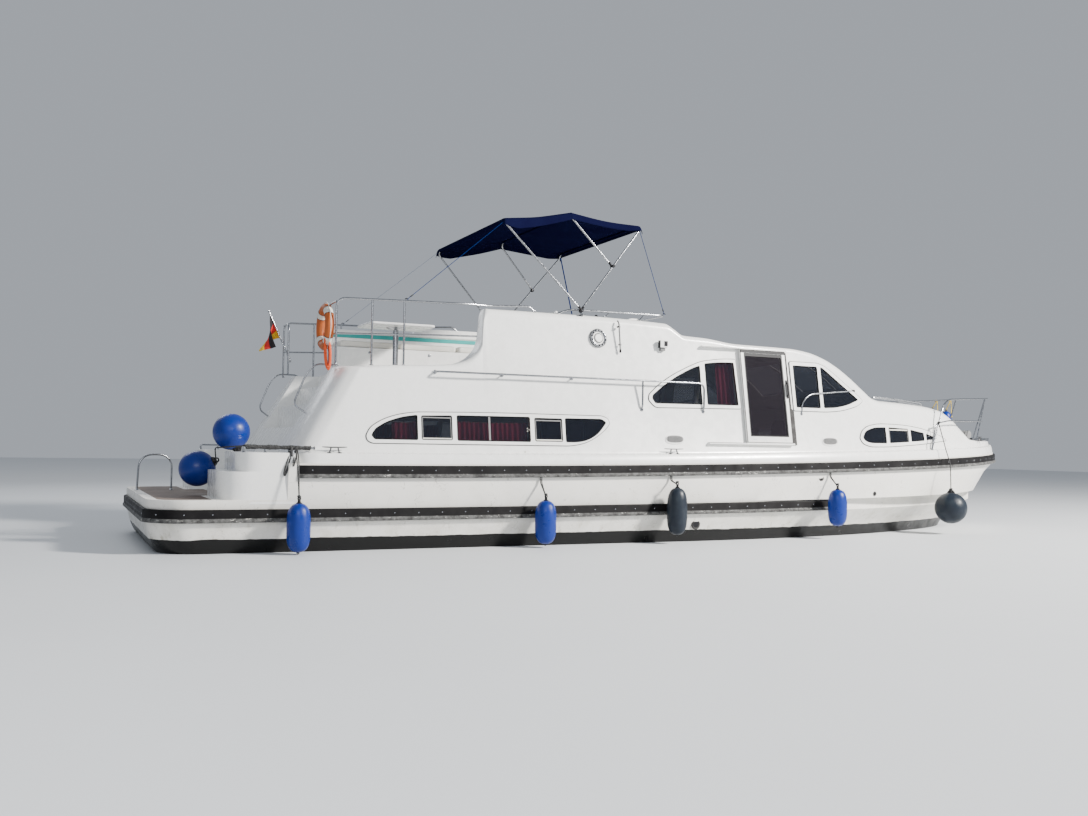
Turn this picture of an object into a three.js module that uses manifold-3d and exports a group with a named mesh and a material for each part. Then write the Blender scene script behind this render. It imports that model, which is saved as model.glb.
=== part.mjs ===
// A river houseboat of glass-fibre mouldings, with a flybridge over its cabins.
// Millimetres: X forward, Y to port, Z up, origin at midships on the centreline at the waterline.
import * as THREE from 'three';
import { mergeVertices } from 'three/addons/utils/BufferGeometryUtils.js';
import Module from 'manifold-3d';

const wasm = await Module();
wasm.setup();

// driving dimensions
const GAP = 0.3;              // between pieces that rest on each other
const STERN = -7200;          // aft face of the platform
const STEM = 7430;            // fore end of the deck edge
const HALF_BEAM = 2000;       // at the deck edge, without the rub rails
const TAPER_FROM = 800;       // the sides run straight aft of here
const TUMBLEHOME = 0.165;     // lean of the cabin sides
const WALL_FOOT = 140;        // cabin side inboard of the deck edge
const WALL = 48;              // thickness of the cabin mouldings
const RUB_HEIGHT = 150;       // both rub rails
const RUB_DEPTH = 50;
const PLATFORM_Z = 610;
const QUARTER_Z = 1150;       // top of the quarter steps
const AFT_FACE = -5620;       // foot of the cabin's aft face
const SOLE_Z = 850;           // saloon sole
const FLY_SOLE = 2260;        // flybridge sole
const WELL_HALF = 1380;       // flybridge well, half breadth
const STAIR_HALF = 1030;
const TUBE_R = 13;            // rails
const BIMINI_FOOT = { x: -1720, z: 3110 };

const colours = {
  gelcoat: [0xf4f4f0, 0.28, 0], rubber: [0x2b2a2b, 0.7, 0], teak: [0x75675c, 0.8, 0],
  glass: [0x20242c, 0.05, 0], steel: [0xc9ccd0, 0.2, 1], canvas: [0x15193a, 0.9, 0],
  blue: [0x0b3fc4, 0.3, 0], navy: [0x2b3947, 0.4, 0], orange: [0xd9622a, 0.6, 0],
  cushion: [0x2a9d98, 0.8, 0], bronze: [0xa8824a, 0.4, 1], iron: [0x4a4d50, 0.6, 1],
  ply: [0x8a6b4a, 0.6, 0], black: [0x1a1a1c, 0.5, 0], red: [0xc8202a, 0.8, 0],
};
const boat = new THREE.Group();

// solids: geometry to manifold and back
function solid(geometry) {
  const g = geometry.clone();
  g.deleteAttribute('normal');
  g.deleteAttribute('uv');
  const m = mergeVertices(g, 1e-4);
  return new wasm.Manifold(new wasm.Mesh({
    numProp: 3,
    vertProperties: Float32Array.from(m.attributes.position.array),
    triVerts: Uint32Array.from(m.index.array),
  }));
}

function toGeometry(manifold) {
  const mesh = manifold.getMesh();
  const g = new THREE.BufferGeometry();
  g.setAttribute('position', new THREE.BufferAttribute(Float32Array.from(mesh.vertProperties), 3));
  g.setIndex(new THREE.BufferAttribute(Uint32Array.from(mesh.triVerts), 1));
  g.computeVertexNormals();
  return g;
}

function addPiece(name, shape, colour) {
  const geometry = shape.isBufferGeometry ? shape : toGeometry(shape);
  const [hex, roughness, metalness] = colours[colour];
  const mesh = new THREE.Mesh(geometry, new THREE.MeshStandardMaterial({ color: hex, roughness, metalness }));
  mesh.name = name;
  boat.add(mesh);
  return mesh;
}

const sum = (list) => list.reduce((all, one) => all.add(one));

// skin of quads over equal rings of [x, y, z], with flat ends
function loft(rings, capAxes) {
  const n = rings[0].length;
  const points = rings.flat();
  const index = [];
  for (let i = 0; i + 1 < rings.length; i += 1) {
    for (let j = 0; j < n; j += 1) {
      const k = (j + 1) % n;
      index.push(i * n + j, i * n + k, (i + 1) * n + k, i * n + j, (i + 1) * n + k, (i + 1) * n + j);
    }
  }
  const [a, b] = capAxes;
  for (const end of [0, rings.length - 1]) {
    const flat = rings[end].map((p) => new THREE.Vector2(p[a], p[b]));
    const ringTurn = THREE.ShapeUtils.area(flat);
    for (const face of THREE.ShapeUtils.triangulateShape(flat, [])) {
      const follows = THREE.ShapeUtils.area(face.map((k) => flat[k])) * ringTurn > 0;
      const [p, q, r] = follows === (end > 0) ? face : face.slice().reverse();
      index.push(end * n + p, end * n + q, end * n + r);
    }
  }
  const g = new THREE.BufferGeometry();
  g.setAttribute('position', new THREE.Float32BufferAttribute(points.flat(), 3));
  g.setIndex(index);
  return orient(g);
}

// faces turned outwards
function orient(g) {
  const p = g.attributes.position;
  const ix = g.index.array;
  let volume = 0;
  const v = [new THREE.Vector3(), new THREE.Vector3(), new THREE.Vector3()];
  for (let i = 0; i < ix.length; i += 3) {
    v.forEach((one, j) => one.fromBufferAttribute(p, ix[i + j]));
    volume += v[0].dot(v[1].clone().cross(v[2]));
  }
  if (volume < 0) {
    for (let i = 0; i < ix.length; i += 3) [ix[i], ix[i + 1]] = [ix[i + 1], ix[i]];
  }
  return g;
}

function box(x0, x1, y0, y1, z0, z1) {
  const g = new THREE.BoxGeometry(x1 - x0, y1 - y0, z1 - z0);
  g.translate((x0 + x1) / 2, (y0 + y1) / 2, (z0 + z1) / 2);
  return solid(g);
}

// outline in (x, z) carried across the boat from y0 to y1
function plateXZ(outline, y0, y1) {
  const shape = new THREE.Shape(outline.map(([x, z]) => new THREE.Vector2(x, z)));
  const g = new THREE.ExtrudeGeometry(shape, { depth: y1 - y0, bevelEnabled: false });
  g.rotateX(Math.PI / 2);
  g.translate(0, y1, 0);
  return solid(g);
}

// outline in (x, y) raised from z0 to z1
function plateXY(outline, z0, z1) {
  const shape = new THREE.Shape(outline.map(([x, y]) => new THREE.Vector2(x, y)));
  const g = new THREE.ExtrudeGeometry(shape, { depth: z1 - z0, bevelEnabled: false });
  g.translate(0, 0, z0);
  return solid(g);
}

// corners of a polyline rounded to radius r in two steps
function rounded(points, r) {
  const out = [new THREE.Vector3(...points[0])];
  for (let i = 1; i + 1 < points.length; i += 1) {
    const [p, c, q] = [i - 1, i, i + 1].map((k) => new THREE.Vector3(...points[k].slice(0, 3)));
    const u = p.clone().sub(c);
    const w = q.clone().sub(c);
    const cut = Math.min(r, u.length() * 0.45, w.length() * 0.45);
    const a = c.clone().addScaledVector(u.clone().normalize(), cut);
    const b = c.clone().addScaledVector(w.clone().normalize(), cut);
    if (r < 1 || u.angleTo(w) > 2.75) out.push(c);
    else for (const t of [0, 0.5, 1]) {
      const ab = a.clone().multiplyScalar((1 - t) ** 2);
      ab.addScaledVector(c, 2 * t * (1 - t));
      out.push(ab.addScaledVector(b, t * t));
    }
  }
  out.push(new THREE.Vector3(...points[points.length - 1].slice(0, 3)));
  return out;
}

// a path whose steps fall on its own points
class Through extends THREE.Curve {
  constructor(points) {
    super();
    this.points = points;
  }
  getPoint(t, target = new THREE.Vector3()) {
    const at = t * (this.points.length - 1);
    const i = Math.min(Math.floor(at), this.points.length - 2);
    return target.lerpVectors(this.points[i], this.points[i + 1], at - i);
  }
  getPointAt(u, target) {
    return this.getPoint(u, target);
  }
  getTangentAt(u, target = new THREE.Vector3()) {
    const i = Math.round(u * (this.points.length - 1));
    const a = this.points[Math.max(i - 1, 0)];
    const b = this.points[Math.min(i + 1, this.points.length - 1)];
    return target.subVectors(b, a).normalize();
  }
}

function tube(points, radius = TUBE_R, bend = 120, sides = 6) {
  const path = rounded(points, bend);
  const section = new THREE.Shape();
  for (let i = 0; i < sides; i += 1) {
    const a = (2 * Math.PI * (i + 0.5)) / sides;
    section[i ? 'lineTo' : 'moveTo'](radius * Math.cos(a), radius * Math.sin(a));
  }
  const along = new Through(path);
  const how = { steps: path.length - 1, bevelEnabled: false, extrudePath: along };
  const g = new THREE.ExtrudeGeometry(section, how);
  return solid(g);
}

function lathe(profile, segments, place) {
  const g = new THREE.LatheGeometry(profile.map(([r, h]) => new THREE.Vector2(r, h)), segments);
  g.rotateX(Math.PI / 2);
  if (place) place(g);
  return solid(g);
}

function rod(a, b, radius, sides = 8) {
  const from = new THREE.Vector3(...a);
  const to = new THREE.Vector3(...b);
  const g = new THREE.CylinderGeometry(radius, radius, from.distanceTo(to), sides);
  g.translate(0, from.distanceTo(to) / 2, 0);
  const way = to.clone().sub(from).normalize();
  g.applyQuaternion(new THREE.Quaternion().setFromUnitVectors(new THREE.Vector3(0, 1, 0), way));
  g.translate(...a);
  return solid(g);
}

const mirrorY = (manifold) => manifold.mirror([0, 1, 0]);
const mix = (a, b, t) => a + (b - a) * t;

// deck edge: half breadth, and heights of the upper rub rail
function bowTaper(x, from, to, power, fullness) {
  const t = Math.min(Math.max((x - from) / (to - from), 0), 1);
  return (1 - t ** power) ** fullness;
}
const sheer = (x) => HALF_BEAM * bowTaper(x, TAPER_FROM, STEM, 3, 0.8);
const railFoot = (x) => 860 + 270 * ((x + 5600) / 13050) ** 2;
const deckEdge = (x) => railFoot(Math.max(x, -5600)) + RUB_HEIGHT + 20;
const lowerFoot = (x) => 355 + 50 * Math.max(0, (x + 5700) / 7900) ** 2;

// sections of the superstructure
// x, lean of the ring, side inset, shoulder z, crown z, shoulder radius, fore bulge
const STATIONS = [
  [-5620, 0.60, 300, 2215, 2225, 90, 0], [-5575, 0.60, 150, 2215, 2225, 90, 0],
  [-5480, 0.60, 50, 2215, 2225, 90, 0], [-5330, 0.55, 5, 2215, 2225, 90, 0],
  [-4900, 0.30, 0, 2230, 2245, 90, 0], [-4300, 0, 0, 2250, 2265, 90, 0],
  [-3620, 0, 0, 2290, 2300, 90, 0], [-3430, 0, 0, 2340, 2350, 90, 0],
  [-3280, 0, 0, 2450, 2460, 90, 0], [-3190, 0, 0, 2620, 2630, 100, 0],
  [-3155, 0, 0, 2960, 2970, 100, 0], [-3110, 0, 0, 3050, 3060, 100, 0],
  [-1700, 0, 0, 3055, 3065, 100, 0], [-400, 0, 0, 3025, 3040, 100, 0],
  [-250, 0, 0, 2950, 2970, 100, 0], [-120, 0, 0, 2870, 2910, 90, 0],
  [250, 0, 0, 2850, 2910, 80, 0], [760, 0, 0, 2790, 2900, 60, 0],
  [1700, 0, 0, 2775, 2890, 60, 100], [2050, 0, 0, 2740, 2860, 80, 200],
  [2350, 0, 0, 2660, 2780, 110, 300], [2600, 0, 0, 2540, 2650, 120, 400],
  [2850, 0, 0, 2380, 2490, 130, 450], [3100, 0, 0, 2200, 2310, 140, 450],
  [3280, 0, 0, 2085, 2180, 140, 450], [3450, 0, 0, 2055, 2140, 150, 420],
  [3900, 0, 0, 2040, 2120, 160, 350], [4500, 0, 0, 2015, 2090, 180, 300],
  [5000, 0, 0, 1960, 2040, 200, 300], [5300, 0, 0, 1860, 1940, 200, 300],
  [5550, 0, 0, 1720, 1800, 180, 300], [5750, 0, 0, 1580, 1640, 90, 280],
  [5880, 0, 0, 1500, 1520, 30, 200], [6300, 0, 0, 1480, 1490, 20, 0],
  [6800, 0, 0, 1480, 1490, 20, 0], [7150, 0, 0, 1485, 1495, 20, 0], [7340, 0, 0, 1490, 1500, 12, 0],
];

// plan outline of one hull line: stern corner, straight side, then the bow
const CORNER = 450;
const CORNER_STEPS = [0, 0.25, 0.5, 0.75, 1];
const SIDE_STEPS = [0.12, 0.26, 0.4, 0.5, 0.57, 0.64, 0.71, 0.77, 0.83, 0.88, 0.925, 0.96, 0.985, 1];
function hullLine({ aft, fore, breadth, taper, power, full, z }) {
  const half = [];
  const corner = Math.min(CORNER, breadth * 0.8);
  for (const t of CORNER_STEPS) {
    const a = (t * Math.PI) / 2;
    half.push([aft + corner * (1 - Math.cos(a)), breadth - corner * (1 - Math.sin(a))]);
  }
  for (const t of SIDE_STEPS) {
    const x = mix(aft + corner, fore, t);
    half.push([x, breadth * bowTaper(x, taper, fore, power, full)]);
  }
  const port = half.map(([x, y]) => [x, y, z(x)]);
  const starboard = half.slice(0, -1).reverse().map(([x, y]) => [x, -y, z(x)]);
  return [...port, ...starboard];
}

const rise = (from, aft, deep, high) => (x) => (
  x < from ? deep + (high - deep) * ((from - x) / (from - aft)) ** 2 : deep
);
const keelZ = (x) => rise(-3500, -6300, -600, -240)(x) + (x > 3500 ? 260 * ((x - 3500) / 1400) ** 2 : 0);
const HULL_LINES = [
  { aft: -6300, fore: 4900, breadth: 60, taper: 2000, power: 2, full: 0.7, z: keelZ },
  { aft: -6750, fore: 5750, breadth: 1600, taper: -300, power: 2,
    full: 0.8, z: rise(-3500, -6700, -390, -130) },
  { aft: -7050, fore: 6080, breadth: 1820, taper: -300, power: 2,
    full: 0.75, z: rise(-3500, -7000, -150, -20) },
  { aft: -7140, fore: 6250, breadth: 1890, taper: -300, power: 2, full: 0.72, z: () => 120 },
  { aft: STERN, fore: 6850, breadth: 1965, taper: 300, power: 2.3, full: 0.72, z: (x) => lowerFoot(x) - 4 },
  { aft: STERN, fore: 6850, breadth: 1965, taper: 300, power: 2.3,
    full: 0.72, z: (x) => lowerFoot(x) + RUB_HEIGHT + 4 },
  { aft: STERN - 4, fore: 6890, breadth: 1969, taper: 800, power: 3,
    full: 0.75, z: (x) => lowerFoot(x) + RUB_HEIGHT + 14 },
  { aft: STERN, fore: 7180, breadth: 1985, taper: 800, power: 3,
    full: 0.78, z: (x) => railFoot(Math.max(x, -5600)) - 150 },
  { aft: STERN, fore: STEM - 20, breadth: HALF_BEAM, taper: TAPER_FROM, power: 3,
    full: 0.8, z: (x) => railFoot(Math.max(x, -5600)) - 4 },
  { aft: STERN, fore: STEM, breadth: HALF_BEAM, taper: TAPER_FROM, power: 3, full: 0.8, z: () => 1500 },
];

// ring of the superstructure's skin at a station, moved out by off
function ringAt([x, lean, inset, zs, zc, radius, bulge], off, base) {
  const edge = sheer(x) - inset;
  const narrow = Math.min(1, edge / 900);
  const foot = deckEdge(x) + GAP;
  const ledge = foot + 130;
  const wall = (z) => Math.max(edge - WALL_FOOT * narrow - TUMBLEHOME * (z - 1200), edge * 0.35);
  const r = Math.min(radius, wall(zs) * 0.4);
  const round = Math.max(r + off, 4);
  const cy = wall(zs) + off - round;
  const cz = zs + off - round;
  const half = [
    [edge - 10 + off, base < 0 ? foot + base : foot],
    [edge - 18 + off, foot + 60],
    [edge - 100 * narrow + off, ledge + off * 0.5],
    [wall(ledge + 14) + off, ledge + 14 + off * 0.5],
    [wall(cz) + off, Math.max(cz, ledge + 20 + off * 0.5)],
    [cy + round * 0.71, Math.max(cz + round * 0.71, ledge + 24 + off * 0.5)],
    [cy, zs + off],
    [cy * 0.55, zs + off + 0.7 * (zc - zs)],
  ];
  const across = wall(zs);
  const place = ([y, z]) => {
    const high = Math.max(0, z - 1200);
    const up = Math.min(1, Math.max(0, (z - ledge) / Math.max(zs - ledge, 1)));
    const fore = bulge * (1 - Math.min(1, Math.abs(y) / across) ** 2) * up;
    return [x + lean * high + fore - (x < -5300 ? off : 0), y, z];
  };
  const port = half.map(place);
  const starboard = half.map(([y, z]) => place([-y, z])).reverse();
  return [...port, place([0, zc + off]), ...starboard];
}

// an inner skin stops short of the narrow bow
function skin(off, base = 0) {
  const used = STATIONS.filter(([x]) => off > -30 || x < 6500);
  return solid(loft(used.map((s) => ringAt(s, off, base)), [1, 2]));
}

// hull
// the deck edge's sheer cuts the hull's top, straight across the boat
const aboveDeck = solid(loft([-7600, ...STATIONS.map(([x]) => x), 7600].map((x) => {
  const z = deckEdge(x);
  return [[x, -2300, z], [x, 2300, z], [x, 2300, 1900], [x, -2300, 1900]];
}), [1, 2]));
const hullBody = solid(loft(HULL_LINES.map(hullLine), [0, 1])).subtract(aboveDeck);
const hullCut = box(-7600, -5700, -2100, 2100, PLATFORM_Z, 1400);
function pod(x0, corner, z) {
  const x1 = AFT_FACE - GAP;
  const out = 1975;
  const inner = 960;
  return plateXY([
    [x0, -inner], [x0, -out + corner], [x0 + corner * 0.12, -out + corner * 0.5],
    [x0 + corner * 0.5, -out + corner * 0.12], [x0 + corner, -out], [x1, -out], [x1, -inner],
  ], 560, z);
}
const stepBlock = (x0, z) => box(x0, AFT_FACE - GAP, -970, 970, 560, z);
const quarters = sum([pod(-6455, 360, 930), pod(-6262, 500, QUARTER_Z)]);
const SHAFT_Z = -660;
const TUBE_END = -5700;
const STOCK_X = -6230;
const skeg = plateXZ([[-6300, -940], [-1800, -940], [-900, -560], [-3500, -560], [-4400, -535], [-5300, -425],
  [-5640, -360], [-5640, -900], [-6300, -900]], -32, 32);
const sternTube = rod([TUBE_END, 0, SHAFT_Z], [-4300, 0, SHAFT_Z + 40], 60, 10);
const halfAt = (line, x) => line.breadth * bowTaper(x, line.taper, line.fore, line.power, line.full);
const cabinVoid = loft([-4700, -4200, 0, 1500, 2600, 3600, 4500, 5200, 5750].map((x) => {
  const narrow = x < -4300 ? 130 : 0;
  const top = sheer(x) - 120 - narrow;
  const y = halfAt(HULL_LINES[5], x) - 110 - narrow;
  const low = halfAt(HULL_LINES[3], x) - 200 - narrow;
  return [[x, -top, 1600], [x, -top, 1130], [x, -y, 560], [x, -low, 300],
    [x, low, 300], [x, y, 560], [x, top, 1130], [x, top, 1600]];
}), [1, 2]);
const saloonFill = box(-1200, 3200, -1800, 1800, -100, SOLE_Z - 30);
const engineBay = box(-1000, 500, -600, 600, -330, 1600);
let hull = hullBody.subtract(hullCut).add(quarters).add(mirrorY(quarters));
hull = hull.add(stepBlock(-6200, 890)).add(stepBlock(-5900, 1170));
hull = hull.subtract(solid(cabinVoid).subtract(saloonFill)).subtract(engineBay);
hull = hull.add(skeg).add(sternTube);
hull = hull.subtract(rod([TUBE_END - 60, 0, SHAFT_Z], [TUBE_END + 200, 0, SHAFT_Z], 21, 16));
hull = hull.subtract(rod([STOCK_X, 0, -1000], [STOCK_X, 0, 60], 26, 16));
const teakOutline = (inset) => {
  const r = 400;
  const x0 = STERN + inset;
  const y = 1965 - inset;
  const round = [[x0 + r, -y], [x0 + r * 0.5, -y + r * 0.13], [x0 + r * 0.13, -y + r * 0.5], [x0, -y + r]];
  const side = [[-6515, -y], ...round];
  const port = side.slice().reverse().map(([x, a]) => [x, -a]);
  return [...side, ...port, [-6515, 900], [-6260, 900], [-6260, -900], [-6515, -900]];
};
hull = hull.subtract(plateXY(teakOutline(110), PLATFORM_Z - 18, PLATFORM_Z + 50));
addPiece('hull', hull, 'gelcoat');
addPiece('platform_teak', plateXY(teakOutline(110 + GAP), PLATFORM_Z - 18 + GAP, PLATFORM_Z - 2), 'teak');
const SOLE = [[-1150, -1760], [2000, -1760], [3150, -1680], [3150, 1680], [2000, 1760], [-1150, 1760]];
addPiece('saloon_sole', plateXY(SOLE, SOLE_Z - 30 + GAP, SOLE_Z), 'ply');
addPiece('engine', box(-800, 300, -330, 330, -330 + GAP, 400), 'iron');

// rub rails: a section with chamfered edges carried along the hull side
function rubRail(stations, footAt) {
  const outer = (i) => {
    const a = stations[Math.max(i - 1, 0)];
    const b = stations[Math.min(i + 1, stations.length - 1)];
    const t = new THREE.Vector2(b[0] - a[0], b[1] - a[1]).normalize();
    return new THREE.Vector2(t.y, -t.x);
  };
  const rings = stations.map(([x, y], i) => {
    const n = outer(i);
    const z = footAt(x);
    return [[GAP, 0], [RUB_DEPTH * 0.7, 0], [RUB_DEPTH, 30], [RUB_DEPTH, 120],
      [RUB_DEPTH * 0.7, RUB_HEIGHT], [GAP, RUB_HEIGHT]]
      .map(([d, h]) => [x + n.x * d, y + n.y * d, z + h]);
  });
  return loft(rings, [1, 2]);
}
const upperLine = HULL_LINES[HULL_LINES.length - 1];
const lowerLine = HULL_LINES[5];
// stations of the rail are the hull line's own, from the starboard end round to the port end
function railStations(line, keep, extra) {
  const ring = hullLine(line).map(([x, y]) => [x, y]);
  const n = CORNER_STEPS.length + SIDE_STEPS.length;
  const port = ring.slice(0, n);
  const list = port.filter(([x]) => keep(x));
  if (extra !== null) {
    const y = line.breadth * bowTaper(extra, line.taper, line.fore, line.power, line.full);
    list.push([extra, y]);
    list.sort((a, b) => a[0] - b[0] || a[1] - b[1]);
  }
  return list;
}
const upperHalf = railStations(upperLine, (x) => x > -5580, -5580);
const upperSide = upperHalf.slice(0, -1);
const upperNose = [[STEM + 2, -60], [STEM + 2, 60]];
const upperAll = [...upperSide.map(([x, y]) => [x, -y]), ...upperNose, ...upperSide.reverse()];
const lowerHalf = railStations(lowerLine, (x) => x < 2150, 2230);
const lowerAll = [...lowerHalf.slice().reverse(), ...lowerHalf.map(([x, y]) => [x, -y])];
const upperRail = solid(rubRail(upperAll, (x) => railFoot(Math.min(x, STEM))));
addPiece('rub_rail_upper', upperRail, 'rubber');
addPiece('rub_rail_lower', rubRail(lowerAll, lowerFoot), 'rubber');

// superstructure: outer skin less its void, the flybridge well, the stairs, the windows and the doors
const voidStations = STATIONS.filter(([x]) => x > -4700 && x < 5600).map((s) => {
  const [x, lean, inset, zs, zc, r, bulge] = s;
  const top = x < -60 ? Math.min(zs, FLY_SOLE - 10) : zs;
  return [x, 0, inset, top, x < -60 ? top + 10 : zc, Math.min(r, 90), bulge];
});
const cabinAir = solid(loft(voidStations.map((s) => ringAt(s, -WALL, -300)), [1, 2]));
const well = plateXZ([[-5700, FLY_SOLE], [-620, FLY_SOLE], [-520, 3300], [-5700, 3300]], -WELL_HALF, WELL_HALF);
const STAIRS = [[-6400, 1460], [-5250, 1760], [-4980, 2020], [-4710, 2270]];
const stairCut = sum(STAIRS.slice(0, 3).map(
  ([x, z], i) => box(x, STAIRS[i + 1][0], -STAIR_HALF, STAIR_HALF, z, 3300),
));
const leanY = (x, z) => sheer(x) - WALL_FOOT - TUMBLEHOME * (z - 1200);

// openings in the sides, as outlines in (x, z)
const AFT_BAND = [[-4755, 1370], [-4700, 1470], [-4560, 1560], [-4380, 1625], [-4150, 1665], [-3150, 1685],
  [-1530, 1685], [-1450, 1655], [-1420, 1590], [-1500, 1500], [-1640, 1400], [-1800, 1325], [-2000, 1285],
  [-4680, 1280], [-4740, 1310]];
const SALOON = [[-790, 1930], [-780, 2000], [-620, 2140], [-380, 2290], [-100, 2420], [100, 2500],
  [420, 2550], [690, 2560], [720, 1850], [-700, 1830]];
const WHEELHOUSE = [[1655, 1850], [1655, 2575], [2240, 2575], [2480, 2430], [2980, 2075], [3010, 2030],
  [2900, 1960], [2600, 1880], [2300, 1850]];
const FORE_BAND = [[2880, 1470], [2930, 1580], [3060, 1655], [3300, 1695], [3850, 1690], [4350, 1640],
  [4800, 1540], [4990, 1470], [4300, 1400], [3500, 1350], [3080, 1345], [2930, 1390]];
const DOOR_HOLE = [[800, 1420], [800, 2690], [1510, 2690], [1510, 1420]];
const AFT_PANES = [
  [[-4690, 1375], [-4640, 1455], [-4500, 1540], [-4300, 1605], [-4105, 1632], [-4105, 1325], [-4650, 1325]],
  [[-4055, 1330], [-4055, 1625], [-3655, 1635], [-3655, 1330]],
  [[-3590, 1325], [-3590, 1640], [-3175, 1642], [-3175, 1325]],
  [[-3130, 1325], [-3130, 1642], [-2590, 1645], [-2590, 1325]],
  [[-2525, 1335], [-2525, 1635], [-2130, 1635], [-2130, 1335]],
  [[-2085, 1330], [-2085, 1642], [-1540, 1645], [-1475, 1600], [-1600, 1450], [-1760, 1360], [-1920, 1330]],
];
const SALOON_PANES = [
  [[-735, 1950], [-720, 2000], [-560, 2120], [-330, 2265], [-60, 2395], [75, 2440], [75, 1890], [-690, 1885]],
  [[160, 1890], [160, 2475], [420, 2505], [655, 2510], [680, 1895]],
];
const WHEELHOUSE_PANES = [
  [[1710, 1900], [1710, 2520], [2160, 2520], [2160, 1900]],
  [[2225, 1905], [2225, 2515], [2260, 2510], [2920, 2050], [2700, 1965], [2450, 1915]],
];
const FORE_PANES = [
  [[2940, 1480], [3000, 1575], [3180, 1635], [3440, 1645], [3440, 1400], [3090, 1400], [2980, 1430]],
  [[3510, 1405], [3510, 1645], [3960, 1630], [3960, 1430]],
  [[4020, 1435], [4020, 1620], [4350, 1575], [4350, 1455]],
  [[4410, 1465], [4410, 1565], [4700, 1500], [4600, 1478]],
];

// outline moved outwards by d, corner by corner
function grown(outline, d) {
  const turn = Math.sign(THREE.ShapeUtils.area(outline.map(([x, z]) => new THREE.Vector2(x, z))));
  const n = outline.length;
  return outline.map(([x, z], i) => {
    const a = outline[(i + n - 1) % n];
    const b = outline[(i + 1) % n];
    const u = new THREE.Vector2(x - a[0], z - a[1]).normalize();
    const v = new THREE.Vector2(b[0] - x, b[1] - z).normalize();
    const out = new THREE.Vector2(u.y + v.y, -(u.x + v.x)).multiplyScalar(turn);
    out.multiplyScalar(1 / Math.max(out.length() ** 2 / 2, 0.3));
    return [x + out.x * d, z + out.y * d];
  });
}
const sidePrism = (outline, side, grow = 0) => (
  plateXZ(grow ? grown(outline, grow) : outline, side < 0 ? -2300 : 900, side < 0 ? -900 : 2300)
);
const SCREEN_TOP = 2420;
const SCREEN_FOOT = 3230;
const screenEdge = (x, y, bulge) => x + bulge * (1 - Math.min(1, Math.abs(y) / 1500) ** 2);
const across = [-1, -0.66, -0.33, 0, 0.33, 0.66, 1];
function screenPlan(x0, x1, halfTop, halfFoot, b0, b1) {
  const top = across.map((t) => [screenEdge(x0, t * halfTop, b0), t * halfTop]);
  const foot = across.map((t) => [screenEdge(x1, t * halfFoot, b1), t * halfFoot]).reverse();
  return [...top, ...foot];
}

const cabinShell = skin(0);
let cabin = cabinShell.subtract(cabinAir).subtract(well).subtract(stairCut);
const frameSkin = skin(12).subtract(skin(-WALL + 4, -300));
const glassFront = skin(16).subtract(skin(-4, -300));
const glassBack = skin(-20).subtract(skin(-WALL - 20, -300));
// the sides are flat aft of the taper, so the frames there are cut from flat slabs
function wallSlab(inner, outer) {
  const y = (z, off) => HALF_BEAM - WALL_FOOT - TUMBLEHOME * (z - 1200) + off;
  const one = solid(loft([-4900, 790].map((x) => [
    [x, y(1200, outer), 1200], [x, y(2700, outer), 2700], [x, y(2700, inner), 2700], [x, y(1200, inner), 1200],
  ]), [1, 2]));
  return one.add(mirrorY(one));
}
const CURVED = { frame: frameSkin, front: glassFront, back: glassBack };
const FLAT = { frame: wallSlab(-WALL + 4, 12), front: wallSlab(-4, 16), back: wallSlab(-WALL - 20, -20) };
function window3(outline, panes, side, { frame, front, back }) {
  const open = sum(panes.map((p) => sidePrism(p, side)));
  cabin = cabin.subtract(sidePrism(outline, side));
  const band = frame.intersect(sidePrism(outline, side, -GAP));
  return band.subtract(front.intersect(open)).subtract(back.intersect(open));
}
for (const [name, side] of [['stbd', -1], ['port', 1]]) {
  cabin = cabin.subtract(sidePrism(DOOR_HOLE, side));
  addPiece(`aft_window_${name}`, window3(AFT_BAND, AFT_PANES, side, FLAT), 'glass');
  addPiece(`saloon_window_${name}`, window3(SALOON, SALOON_PANES, side, FLAT), 'glass');
  addPiece(`wheelhouse_window_${name}`, window3(WHEELHOUSE, WHEELHOUSE_PANES, side, CURVED), 'glass');
  addPiece(`fore_window_${name}`, window3(FORE_BAND, FORE_PANES, side, CURVED), 'glass');
}
const screenHole = plateXY(screenPlan(SCREEN_TOP, SCREEN_FOOT, 1180, 1290, 320, 420), 1950, 2850);
cabin = cabin.subtract(screenHole);
const screenShape = screenPlan(SCREEN_TOP + GAP, SCREEN_FOOT - GAP, 1180 - GAP, 1290 - GAP, 320, 420);
const screenSolid = plateXY(screenShape, 1950, 2850);
addPiece('windscreen', skin(6).subtract(skin(-24, -300)).intersect(screenSolid), 'glass');

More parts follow.
